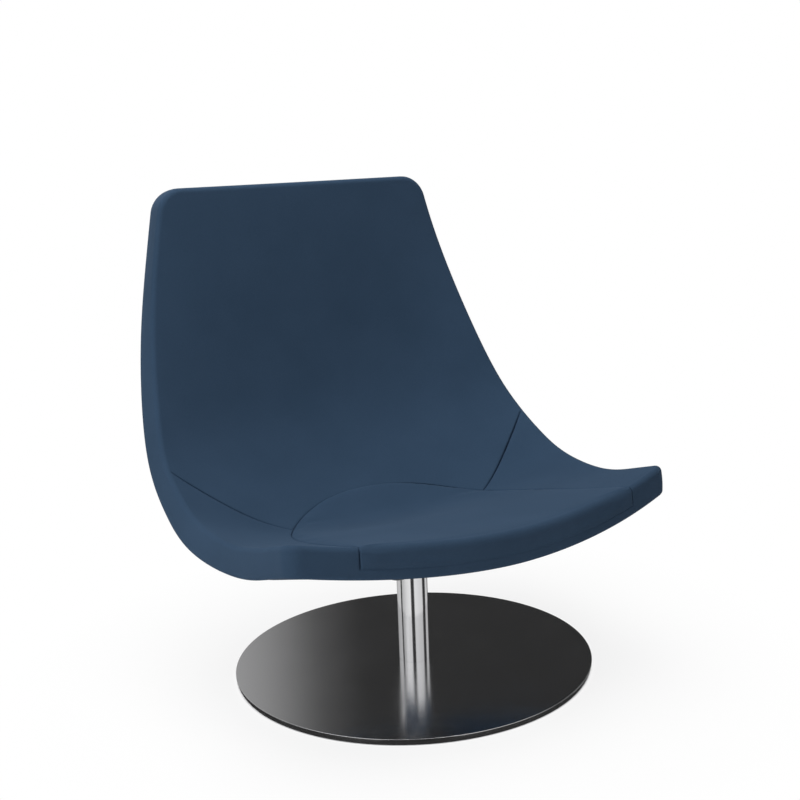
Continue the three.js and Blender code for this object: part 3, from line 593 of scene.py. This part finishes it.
edge = {
    "roundSteps": 9,
    "rearSteps": 7,
    "bulge": 0.0008,                            # of the padded side between its seams
    "foamDepth": 0.026,                         # how deep the padding of the face goes
    "wall": 0.0024,
    "hem": 0.009,                               # how far the cloth turns in on the back
}


def outwardFrom(points, normals):
    return unit(np.cross(normals, np.roll(points, -1, 0) - np.roll(points, 1, 0)))


def outlineColumns():
    parts = {
        "leftSeat": mirrored(rimSide)[::-1],
        "leftBack": mirrored(backSide)[::-1],
        "top": backTop,
        "rightBack": backSide,
        "rightSeat": rimSide,
        "rightFront": frontOuter,
        "padFront": frontInner[::-1],
        "leftFront": mirrored(frontOuter)[::-1],
    }
    names = np.array([name for name, places in parts.items() for _ in places[:-1]])
    places = np.concatenate([part[:-1] for part in parts.values()])
    points, normals = fieldFrame(places[:, 0], places[:, 1])
    return names, points, normals, outwardFrom(points, normals)


columnParts, columnPoint, columnNormal, columnOutward = outlineColumns()


def skirtDepths():
    top, lip, end = shell["faceRound"], seat["lipDepth"], shell["thickness"] - shell["rearRound"]
    upper = gradedShares(lip - top, end=seamStep, coarse=spacing["upperSkirt"])
    lower = gradedShares(end - lip, start=seamStep, coarse=spacing["lowerSkirt"])
    return mix(top, lip, upper[1:]), mix(lip, end, lower[1:])


upperSkirt, lowerSkirt = skirtDepths()
roundAngles = np.linspace(0, math.pi / 2, edge["roundSteps"])
lipStep = len(roundAngles) - 1 + len(upperSkirt)


def crownAt(down, over):                        # the pad's crown falls to nothing at its seams
    fromRear = np.minimum(2 * down, 1)
    fromSide = 1 - np.abs(2 * over - 1) ** 4
    return seat["padCrown"] * np.sin(fromRear * math.pi / 2) * fromSide


def edgeProfile(inset):                         # reach and depth of each step to the hem
    radius, rear, wholeDepth = shell["faceRound"], shell["rearRound"], shell["thickness"]
    start, middle = wholeDepth - rear, radius - rear
    skirt = np.concatenate([upperSkirt, lowerSkirt])
    down = (skirt - radius) / (start - radius)
    turn = np.linspace(0, math.pi / 2, edge["rearSteps"])[1:]
    hem = edge["hem"] * gradedShares(edge["hem"], end=seamStep, coarse=spacing["hem"])[1:]
    bulge = edge["bulge"] * np.sin(down * math.pi)
    faceDepth = radius * (1 - np.cos(roundAngles))
    if inset:
        bulge, faceDepth = 0 * down, edge["foamDepth"] + 0 * roundAngles
        skirt = mix(edge["foamDepth"], start, down)
    reach = [
        (radius - inset) * np.sin(roundAngles),
        radius - inset + bulge,
        middle + (rear - inset) * np.cos(turn),
        middle - hem,
    ]
    depth = [faceDepth, skirt, start + (rear - inset) * np.sin(turn), wholeDepth - inset + 0 * hem]
    facing = [roundAngles, math.pi / 2 + 0 * skirt, math.pi / 2 + turn, math.pi + 0 * hem]
    return [np.concatenate(each)[None, :, None] for each in (reach, depth, facing)]


def edgeLadders():                              # outer points, their directions, and inner points
    at, up, out = columnPoint[:, None], columnNormal[:, None], columnOutward[:, None]
    crown = np.zeros(len(columnParts))
    crown[columnParts == "padFront"] = crownAt(1.0, padColumns[::-1][:-1])
    reach, depth, facing = edgeProfile(0)
    lift = crown[:, None, None] * np.maximum(np.cos(facing), 0)
    innerReach, innerDepth, _ = edgeProfile(edge["wall"])
    return (
        at + out * reach - up * (depth - lift),
        out * np.sin(facing) + up * np.cos(facing),
        at + out * innerReach - up * innerDepth,
    )


ladderOuter, ladderFacing, ladderInner = edgeLadders()
print("sheet divided:", len(columnParts), "edge columns")


# Seams draw the cloth in

seamLook = {                                    # depths from a seam's first point to its last
    "dart": [0.0030, 0.0060, 0.0060, 0.0055, 0.0045, 0.0035],
    "padRear": [0.0034, 0.0018, 0.0006, 0.0004, 0.0003, 0.0003, 0.0004, 0.0008, 0.0022],
    "padSide": [0.0050, 0.0045, 0.0040, 0.0040, 0.0040, 0.0040],
    "flapEnd": [0.0040, 0.0050, 0.0040],
    "lip": [0.0014, 0.0008, 0.0006, 0.0008, 0.0014],
    "hem": [0.0016, 0.0016],
    "left": 0.66,                               # the left dart and pad side are drawn in less
    "farFlapEnd": 0.45,                         # so is the flap's right end
    "width": 0.0015,
    "sharpness": 1.3,
    "roll": 0.15,                               # share of the depth that a wide soft roll takes
    "rollWidth": 0.009,
    # how wide the painted shade beside a seam is
    "creaseShadeWidth": 0.0013,
    "creaseDepth": 0.0045,                      # a seam this deep gets the full painted shade
    "points": 160,
}
borderShares = {"padSide": 0.3, "flapEnd": 0.3}  # how far the border follows the pad's seams down
pointsAtOnce = 4000
seams = {}


def addSeam(points, look, strength=1.0):
    shares, values = np.linspace(0, 1, len(points)), seamLook[look]
    depths = np.interp(shares, np.linspace(0, 1, len(values)), values) * strength
    seams.setdefault(look, []).append((points, depths))


def layOutSeams():
    dense = np.linspace(0, 1, seamLook["points"])
    dart = fieldPoint(*dartPlaces(dense).T)
    side = fieldPoint(*padSidePlaces(dense).T)
    for line, look in ((dart, "dart"), (side, "padSide")):
        addSeam(line, look)
        addSeam(line * (-1, 1, 1), look, seamLook["left"])
    addSeam(fieldPoint(*padRearPlaces(dense).T), "padRear")
    isPad = np.flatnonzero(columnParts == "padFront")
    start, stop = isPad[0], isPad[-1] + 1
    for i in (start, stop):
        strength = 1.0 if ladderOuter[i, 0, 0] < 0 else seamLook["farFlapEnd"]
        addSeam(ladderOuter[i, :lipStep + 1], "flapEnd", strength)
    addSeam(ladderOuter[start:stop + 1, lipStep], "lip")
    addSeam(np.concatenate([ladderOuter[:, -1], ladderOuter[:1, -1]]), "hem")
    return start, stop


padStart, padStop = layOutSeams()


def fromLine(points, line, depths):             # distance to a seam, and the seam's depth there
    closest = length(points[:, None] - line[None]).argmin(1)
    best, depth = np.full(len(points), np.inf), np.zeros(len(points))
    for step in (-1, 1):
        other = np.clip(closest + step, 0, len(line) - 1)
        side = line[other] - line[closest]
        span = np.maximum((side**2).sum(1), 1e-12)
        share = np.clip(((points - line[closest]) * side).sum(1) / span, 0, 1)
        away = length(points - line[closest] - side * share[:, None])
        depth = np.where(away < best, mix(depths[closest], depths[other], share), depth)
        best = np.minimum(away, best)
    return best, depth


def aroundSeams(points, looks, shape):          # the strongest shape(distance, depth)
    flat = points.reshape(-1, 3)
    strongest, reach = np.zeros(len(flat)), 3 * seamLook["rollWidth"]
    for share, line, depths in ((looks[look], *seam) for look in looks for seam in seams[look]):
        inside = ((flat > line.min(0) - reach) & (flat < line.max(0) + reach)).all(1)
        for near in np.array_split(np.flatnonzero(inside), inside.sum() // pointsAtOnce + 1):
            if len(near):
                value = share * shape(*fromLine(flat[near], line, depths))
                strongest[near] = np.maximum(strongest[near], value)
    return strongest.reshape(points.shape[:-1])


def pullShape(away, depth):
    crease = np.exp(-(away / seamLook["width"]) ** seamLook["sharpness"])
    roll = np.exp(-(away / seamLook["rollWidth"]) ** 2)
    return depth * mix(crease, roll, seamLook["roll"])


# painted shade: how dark the cloth is painted beside a seam, the deeper the darker
def creaseShadeShape(away, depth):
    dark = np.minimum(depth / seamLook["creaseDepth"], 1)
    return dark * np.exp(-(away / seamLook["creaseShadeWidth"]) ** 2)


def standShape(away, _):
    return np.exp(-(away / seat["standWidth"]) ** 2)


def padStand(points, share):                    # the pad stands above its border, with a steep side
    around = aroundSeams(points, {"padSide": 1, "flapEnd": 1}, standShape)
    return seat["stand"] * share * (1 - around)


# Closed padded pieces

joinWithin = 2e-6                               # points of neighbouring grids this close become one


def gridFaces(rows, across, start):
    corner = start + (np.arange(rows - 1)[:, None] * across + np.arange(across - 1)[None]).ravel()
    return np.stack([corner, corner + 1, corner + across + 1, corner + across], 1)


def closedPanel(name, grids):                   # joins grids of (outer, inner, painted crease shade)
    outerPoints, innerPoints, creaseShades = (
        np.concatenate([grid[k].reshape(-1, size) for grid in grids]).tolist()
        for k, size in enumerate((3, 3, 1))
    )
    bm = bmesh.new()
    innerPlace = bm.verts.layers.float_vector.new("inner")
    # each point keeps its painted crease shade for the cloth finish
    crease = bm.verts.layers.float.new("crease")
    verts = [bm.verts.new(point) for point in outerPoints]
    for vert, point, (depth,) in zip(verts, innerPoints, creaseShades):
        vert[innerPlace], vert[crease] = point, depth
    start = 0
    for points, *_ in grids:
        rows, across = points.shape[:2]
        for face in gridFaces(rows, across, start).tolist():
            bm.faces.new([verts[i] for i in face])
        start += rows * across
    bmesh.ops.remove_doubles(bm, verts=bm.verts, dist=joinWithin)
    skin, borders = list(bm.faces), [line for line in bm.edges if line.is_boundary]
    below = {vert: bm.verts.new(vert[innerPlace]) for vert in list(bm.verts)}
    for face in skin:
        bm.faces.new([below[vert] for vert in reversed(face.verts)])
    for border in borders:
        border.smooth = False
        first, second = border.verts
        bm.faces.new([first, second, below[second], below[first]])
    bmesh.ops.recalc_face_normals(bm, faces=bm.faces)
    for face in bm.faces:
        face.smooth = True
    bm.verts.layers.float_vector.remove(innerPlace)
    return meshPiece(name, bm)


def meshPiece(name, bm):
    mesh = bpy.data.meshes.new(name)
    bm.to_mesh(mesh)
    bm.free()
    piece = bpy.data.objects.new(name, mesh)
    scene.collection.objects.link(piece)
    return piece


def dress(piece, body, material, slotName, *nodes):
    piece.data.materials.append(material)
    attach(piece, body)
    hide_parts(*nodes)
    print("made", piece.name, len(piece.data.polygons), "faces")


settling = {
    "frames": 20,
    "pressure": 4.0,
    "tension": 60.0,
    "bending": 2.0,
    "mass": 0.3,
    "held": 0.0012,                             # a seam this deep is held where it is sewn
    "reach": 0.0025,                            # no point moves further than this
}


def pointPlaces(mesh):
    places = np.zeros(len(mesh.vertices) * 3)
    mesh.vertices.foreach_get("co", places)
    return places.reshape(-1, 3)


def sewnPoints(mesh):                           # the inner side, the seams and the border
    count = len(mesh.vertices)
    creaseShades, ends = np.zeros(count, np.float32), np.zeros(len(mesh.edges) * 2, np.int32)
    mesh.attributes["crease"].data.foreach_get("value", creaseShades)
    mesh.edges.foreach_get("vertices", ends)
    low, high = np.sort(ends.reshape(-1, 2), axis=1).T
    below = count // 2                          # the inner side's points follow the outer side's
    sewn = (np.arange(count) >= below) | (creaseShades * seamLook["creaseDepth"] > settling["held"])
    sewn[low[(low < below) & (high >= below)]] = True
    return sewn


def settleCloth(piece):                         # blows the cloth up between its seams over the foam
    mesh, sewn = piece.data, sewnPoints(piece.data)
    held = piece.vertex_groups.new(name="held")
    held.add(np.flatnonzero(sewn).tolist(), 1.0, "REPLACE")
    blown = piece.modifiers.new("Cloth", "CLOTH")
    blown.settings.vertex_group_mass = held.name
    blown.settings.use_pressure = True
    blown.settings.uniform_pressure_force = settling["pressure"]
    blown.settings.mass = settling["mass"]
    for stiffness in ("tension_stiffness", "compression_stiffness", "shear_stiffness"):
        setattr(blown.settings, stiffness, settling["tension"])
    blown.settings.bending_stiffness = settling["bending"]
    blown.settings.effector_weights.gravity = 0
    blown.point_cache.frame_start, blown.point_cache.frame_end = 1, settling["frames"]
    for frameNumber in range(1, settling["frames"] + 1):
        scene.frame_set(frameNumber)
    before = pointPlaces(mesh)
    settled = piece.evaluated_get(bpy.context.evaluated_depsgraph_get()).data
    moved = pointPlaces(settled) - before
    far = np.maximum(length(moved), 1e-9)[:, None]
    piece.modifiers.remove(blown)
    piece.vertex_groups.remove(held)
    capped = moved / far * settling["reach"] * (1 - np.exp(-far / settling["reach"]))
    mesh.vertices.foreach_set("co", (before + capped).ravel())
    mesh.update()
    scene.frame_set(1)
    print("settled", piece.name, "held at", sewn.sum(), "of", len(sewn), "points")


def shaped(points, facing, inner, lifted):      # outer points with seams, inner, painted crease shade
    looks = {look: 1.0 if lifted else borderShares.get(look, 1.0) for look in seams}
    height = (lifted(points) if lifted else 0) - aroundSeams(points, looks, pullShape)
    return points + facing * height[..., None], inner, aroundSeams(points, looks, creaseShadeShape)


def fieldGrid(places, lifted=None):
    points, normals = fieldFrame(places[..., 0], places[..., 1])
    return shaped(points, normals, points - normals * edge["foamDepth"], lifted)


def ladderGrid(rows, steps, lifted=None):
    ladders = ladderOuter, ladderFacing, ladderInner
    return shaped(*(ladder[rows][:, steps] for ladder in ladders), lifted)


upholstery = clothFinish("blueCloth")

aroundPad = np.r_[padStop:len(columnParts), 0:padStart + 1]
alongPad = np.arange(padStart, padStop + 1)
wholeLadder = np.arange(ladderOuter.shape[1])

faceCover = closedPanel("faceCover", [
    fieldGrid(backPlaces),
    fieldGrid(rightPlaces),
    fieldGrid(leftPlaces),
    ladderGrid(aroundPad, wholeLadder),
    ladderGrid(alongPad, wholeLadder[lipStep:]),
])
dress(faceCover, "seat", upholstery, "blue_cloth", "back_cover", "seat_border_cover", "front_foam")

padCrown = crownAt(seatRows[:, None], padColumns[None])
standOnTop = np.sin(np.minimum(seatRows / seat["standRise"], 1) * math.pi / 2)[:, None]
standOnFlap = np.linspace(1, seat["flapStand"], lipStep + 1)[None]
seatPad = closedPanel("seatPad", [
    fieldGrid(padPlaces, lambda points: padCrown + padStand(points, standOnTop)),
    ladderGrid(
        alongPad, wholeLadder[:lipStep + 1], lambda points: padStand(points, standOnFlap),
    ),
])
settleCloth(seatPad)
dress(seatPad, "seat", upholstery, "blue_cloth", "seat_pad_cover", "seat_pad_foam")


# Outer cloth on the back and the underside

outer = {
    "wall": 0.003,
    "seamGap": 0.0003,
    "inset": 0.024,                             # from the edge to where the even grid starts
    "drawn": 0.0016,
    "drawnWidth": 0.0020,
    # painted shade down in the hem seam of the outer cloth
    "drawnCreaseShade": 0.5,
    "blockOpening": 0.0812,                     # half the side of the opening round the seat block
    "cutHeight": 0.12,
    "cutMiddle": 0.255,
}


def outerPanel():
    inset, thickness, wall = outer["inset"], shell["thickness"], outer["wall"]
    top, front = inset / topCorner["reach"], 1 - inset / frontCorner["reach"]
    side = 1 - inset / frontCorner["width"]
    rows = gradedShares(spans["outerDown"], cornerStep, cornerStep, spacing["outer"])
    across = gradedShares(spans["outerAcross"], cornerStep, cornerStep, spacing["outer"]) * 2 - 1
    points, normals = fieldFrame(mix(top, front, rows)[:, None], side * across[None])
    middle = points - normals * thickness, points - normals * (thickness - wall), 0 * points[..., 0]
    ring = np.array([
        *[(1.0, b) for b in across[::-1][:-1]],
        *[(a, -1.0) for a in rows[::-1][:-1]],
        *[(0.0, b) for b in across[:-1]],
        *[(a, 1.0) for a in rows[:-1]],
    ])
    edgePoints, edgeNormals = fieldFrame(*ring.T)
    reach = shell["faceRound"] - shell["rearRound"] - edge["hem"] - outer["seamGap"]
    edgePoints = edgePoints + outwardFrom(edgePoints, edgeNormals) * reach
    innerPoints, innerNormals = fieldFrame(mix(top, front, ring[:, 0]), side * ring[:, 1])
    shares = gradedShares(inset + reach, start=seamStep)[None, :, None]
    away = shares * (inset + reach)
    outline = (edgePoints - edgeNormals * thickness)[:, None]
    inner = (innerPoints - innerNormals * thickness)[:, None]

    def border(depth):
        up = unit(mix(edgeNormals[:, None], innerNormals[:, None], shares))
        strip = mix(outline, inner, shares) + up * depth
        return np.concatenate([strip, strip[:1]])

    drawn = np.exp(-(away / outer["drawnWidth"]) ** seamLook["sharpness"])
    # painted shade along the hem seam
    seam = np.exp(-(away[..., 0] / seamLook["creaseShadeWidth"]) ** 2) * outer["drawnCreaseShade"]
    rim = border(outer["drawn"] * drawn)
    return closedPanel("outerCover", [
        middle, (rim, border(wall), np.broadcast_to(seam, rim.shape[:2])),
    ])


def cutOpening(piece):
    bm = bmesh.new()
    bmesh.ops.create_cube(bm, size=1.0)
    half = outer["blockOpening"]
    bmesh.ops.scale(bm, vec=(2 * half, 2 * half, outer["cutHeight"]), verts=bm.verts)
    bmesh.ops.translate(bm, vec=(0, 0, outer["cutMiddle"]), verts=bm.verts)
    cutter = meshPiece("openingCutter", bm)
    modifier = piece.modifiers.new("opening", "BOOLEAN")
    modifier.operation, modifier.object, modifier.solver = "DIFFERENCE", cutter, "EXACT"
    evaluated = piece.evaluated_get(bpy.context.evaluated_depsgraph_get())
    opened = bpy.data.meshes.new_from_object(evaluated)
    piece.modifiers.remove(modifier)
    piece.data = opened
    bpy.data.objects.remove(cutter)


outerCover = outerPanel()
cutOpening(outerCover)
dress(outerCover, "seat", upholstery, "blue_cloth", "outer_cover", "rear_foam")


# Disc and column

base = {
    "discRadius": 0.350,
    "discTop": 0.013,
    "discSheet": 0.002,
    "discFoot": 0.001,
    "discRound": 0.0005,
    "discHold": 0.0004,                         # this far from the rounded edge the shading is flat
    "discRings": (0.30, 0.20, 0.10),
    "discSides": 256,
    "columnRadius": 0.030,
    "columnWall": 0.0025,
    "columnFoot": 0.011,
    "columnTop": 0.190,
    "columnRound": 0.0006,
    "columnSides": 128,
    "hole": 0.0303,
    "sharpFrom": math.radians(32),              # an edge that turns more than this stays sharp
}


def turnedPiece(name, profile, sides):          # profile of (radius, height), closed round
    bm = bmesh.new()
    rings = []
    for k in range(sides):
        angle = 2 * math.pi * k / sides
        x, y = math.cos(angle), math.sin(angle)
        rings.append([bm.verts.new((r * x, r * y, z)) for r, z in profile])
    for k in range(sides):
        here, after = rings[k], rings[(k + 1) % sides]
        for j in range(len(profile)):
            i = (j + 1) % len(profile)
            bm.faces.new([here[j], after[j], after[i], here[i]])
    bmesh.ops.recalc_face_normals(bm, faces=bm.faces)
    for face in bm.faces:
        face.smooth = True
    for border in bm.edges:
        border.smooth = border.calc_face_angle(0) < base["sharpFrom"]
    return meshPiece(name, bm)


def quarter(radius, height, curve, steps=6):    # a rounded outer top corner
    angles = np.linspace(math.pi / 2, 0, steps)
    return [
        (radius - curve + curve * math.sin(t), height - curve + curve * math.cos(t)) for t in angles
    ]


discUnder = base["discTop"] - base["discSheet"]
discInside = base["discRadius"] - base["discSheet"]
discFlat = base["discRound"] + base["discHold"]
discProfile = [
    (base["hole"], discUnder),
    (discInside, discUnder),
    (discInside, base["discFoot"]),
    (base["discRadius"], base["discFoot"]),
    (base["discRadius"], base["discTop"] - discFlat),
    *quarter(base["discRadius"], base["discTop"], base["discRound"]),
    (base["discRadius"] - discFlat, base["discTop"]),
    *[(radius, base["discTop"]) for radius in base["discRings"]],
    (base["hole"], base["discTop"]),
]
baseDisc = turnedPiece("baseDisc", discProfile, base["discSides"])
dress(baseDisc, "base", satinDisc(), "satin_stainless", "base_cover")

bore = base["columnRadius"] - base["columnWall"]
columnProfile = [
    (bore, base["columnFoot"]),
    (base["columnRadius"], base["columnFoot"]),
    *quarter(base["columnRadius"], base["columnTop"], base["columnRound"]),
    (bore, base["columnTop"]),
]
column = turnedPiece("column", columnProfile, base["columnSides"])
columnFinish = satinTube()
dress(column, "base", columnFinish, "satin_stainless", "column_tube")


# Everything hidden keeps its solid and gets a finish

def finishHidden():
    made = {name: hiddenFinish(name) for name in hidden}
    made["satin_stainless"] = columnFinish
    made["blue_cloth"] = upholstery
    for part in frame["record"]["subparts"]:
        node = frame["nodes"][part["node"]]
        node.data.materials.clear()
        node.data.materials.append(made[part["material_slot"]])


finishHidden()
print("hidden pieces finished")


# Camera

view = {
    "focalPixels": 1290.86,
    "elevation": 0.2171,
    "azimuth": -0.5672,
    "roll": -0.0261,
    "offset": (-0.08972, -0.52108, -2.56424),   # the frame's origin in camera axes
    "centrePixel": (460, 400),
    "picture": 800,
    "sensor": 36.0,
    "clip": (0.05, 60.0),
}


def placeCamera():
    azimuth, elevation, roll = view["azimuth"], view["elevation"], view["roll"]
    back = Vector((
        math.sin(azimuth) * math.cos(elevation),
        -math.cos(azimuth) * math.cos(elevation),
        math.sin(elevation),
    ))
    right = Vector((math.cos(azimuth), math.sin(azimuth), 0))
    up = back.cross(right)
    tiltedRight = math.cos(roll) * right + math.sin(roll) * up
    tiltedUp = math.cos(roll) * up - math.sin(roll) * right
    turn = Matrix((tiltedRight, tiltedUp, back)).transposed()
    camera = bpy.data.objects.new("camera", bpy.data.cameras.new("camera"))
    scene.collection.objects.link(camera)
    camera.matrix_world = Matrix.Translation(-(turn @ Vector(view["offset"]))) @ turn.to_4x4()
    camera.data.sensor_width = view["sensor"]
    camera.data.lens = view["sensor"] * view["focalPixels"] / view["picture"]
    camera.data.shift_x = (view["picture"] / 2 - view["centrePixel"][0]) / view["picture"]
    camera.data.clip_start, camera.data.clip_end = view["clip"]
    scene.camera = camera
    scene.view_settings.view_transform = "Standard"


placeCamera()
print("camera placed")


# Floor, surroundings and lamps

studio = {
    "ambient": 0.08,                            # light of the white surroundings
    "floorSize": 14.0,
    "floorColour": colour(0.86, 0.86, 0.86),
    "floorGlow": (0.86, 1.0),                   # beside the base, and where the white is even
    "floorGlowRadius": (0.36, 0.80),
    "lamps": {                                  # place, aim, size, power
        "overhead": ((-0.3, 0.1, 3.2), (0, 0, 0.4), 2.6, 88.0),
        "left": ((-3.0, -0.7, 1.2), (0, 0, 0.5), 1.6, 38.0),
        "low": ((-1.5, -0.3, 0.06), (-0.42, -0.15, 0.34), 0.5, 3.5),
        "front": ((0.4, -3.2, 1.0), (0, 0, 0.4), 1.6, 12.0),
        "right": ((3.0, -0.4, 2.0), (0, 0, 0.5), 1.6, 10.0),
        "rear": ((-0.4, 2.4, 2.6), (0, 0, 0.5), 2.0, 10.0),
    },
    "cardRadius": (0.354, 1.25),                # only the metals reflect the cards
    "cardHeight": (0.0004, 1.25),
    "cardSheet": 0.002,
    "cardSides": 96,
    "cardFoot": (0.372, 0.384),                 # the metals see painted shade on the floor beside the disc, out to here
    "cardFootShade": 0.030,
    "cards": [                                  # degrees right of the camera, and brightness
        (-180, 0.035), (-170, 0.035), (-164, 0.095), (-157, 0.29), (-148, 0.46), (-120, 0.62),
        (-92, 0.66), (-89, 0.03), (-79, 0.03), (-76, 0.54), (-58, 0.64), (-40, 0.80),
        (-11, 0.95), (-7, 0.04), (13, 0.04), (17, 0.90), (50, 0.80), (78, 0.74), (82, 0.04),
        (106, 0.04), (111, 0.74), (136, 0.66), (144, 0.30), (150, 0.03), (180, 0.035),
    ],
}


def seenClean(finish):                          # 1 where the camera or a reflection looks at it
    paths = finish.node("ShaderNodeLightPath")
    rays = [Socket(finish, paths.socket.node.outputs[name]) for name in (
        "Is Camera Ray", "Is Glossy Ray", "Is Transmission Ray",
    )]
    return finish.node("ShaderNodeMath", {"operation": "ADD", "use_clamp": True}, {
        0: rays[0] + rays[1], 1: rays[2],
    })


def makeSurroundings():
    world = bpy.data.worlds.new("surroundings")
    scene.world = world
    finish = Finish(world)
    strength = studio["ambient"] + seenClean(finish) * (1 - studio["ambient"])
    finish.output(finish.node("ShaderNodeBackground", {}, {
        "Color": colour(1, 1, 1), "Strength": strength,
    }))

    bm = bmesh.new()
    bmesh.ops.create_grid(bm, x_segments=4, y_segments=4, size=studio["floorSize"] / 2)
    floor = meshPiece("floor", bm)
    finish = newFinish("paleFloor")
    lit = finish.node("ShaderNodeBsdfDiffuse", {}, {"Color": studio["floorColour"]})
    glow = finish.node("ShaderNodeEmission", {}, {"Color": colour(1, 1, 1), "Strength": 1.0})
    radius = finish.levelRadius(finish.objectPlace())
    clean = finish.remap(radius, *studio["floorGlowRadius"], *studio["floorGlow"])
    share = seenClean(finish) * clean
    floor.data.materials.append(finish.output(
        finish.node("ShaderNodeMixShader", {}, {0: share, 1: lit, 2: glow})
    ))


def makeCards():
    (near, far), (low, high) = studio["cardRadius"], studio["cardHeight"]
    outside = far + studio["cardSheet"]
    profile = [
        (near, low), (far, low), (far, high), (outside, high), (outside, low / 2), (near, low / 2),
    ]
    cards = turnedPiece("reflectionCards", profile, studio["cardSides"])
    cards.rotation_euler.z = view["azimuth"] - math.pi / 2
    for name in ("camera", "diffuse", "transmission", "volume_scatter", "shadow"):
        setattr(cards, "visible_" + name, False)
    finish = newFinish("reflectionCards")
    place = finish.objectPlace()
    at = finish.node("ShaderNodeSeparateXYZ", {}, {0: place})
    x, y = (Socket(finish, at.socket.node.outputs[axis]) for axis in range(2))
    turn = finish.node("ShaderNodeMath", {"operation": "ARCTAN2"}, {0: y, 1: x})
    stops = [((180 + degrees) / 360, colour(*[level] * 3)) for degrees, level in studio["cards"]]
    ring = finish.node("ShaderNodeValToRGB", {"stops": stops}, {0: turn * (0.5 / math.pi) + 0.5})
    # painted shade: the reflected floor is dark beside the disc
    foot = finish.remap(finish.levelRadius(place), *studio["cardFoot"], 0.0, 1.0)
    tone = finish.mixColours(foot, colour(*[studio["cardFootShade"]] * 3), ring)
    cards.data.materials.append(finish.output(
        finish.node("ShaderNodeEmission", {}, {"Color": tone, "Strength": 1.0})
    ))


def addLamp(name, place, aim, size, power):
    lamp = bpy.data.objects.new(name, bpy.data.lights.new(name, "AREA"))
    scene.collection.objects.link(lamp)
    lamp.data.shape, lamp.data.size, lamp.data.energy = "DISK", size, power
    lamp.location = place
    lamp.rotation_euler = (Vector(aim) - Vector(place)).to_track_quat("-Z", "Y").to_euler()


makeSurroundings()
makeCards()
for lampName, (place, aim, size, power) in studio["lamps"].items():
    addLamp(lampName, place, aim, size, power)
print("surroundings and lamps made")

bpy.context.view_layer.update()
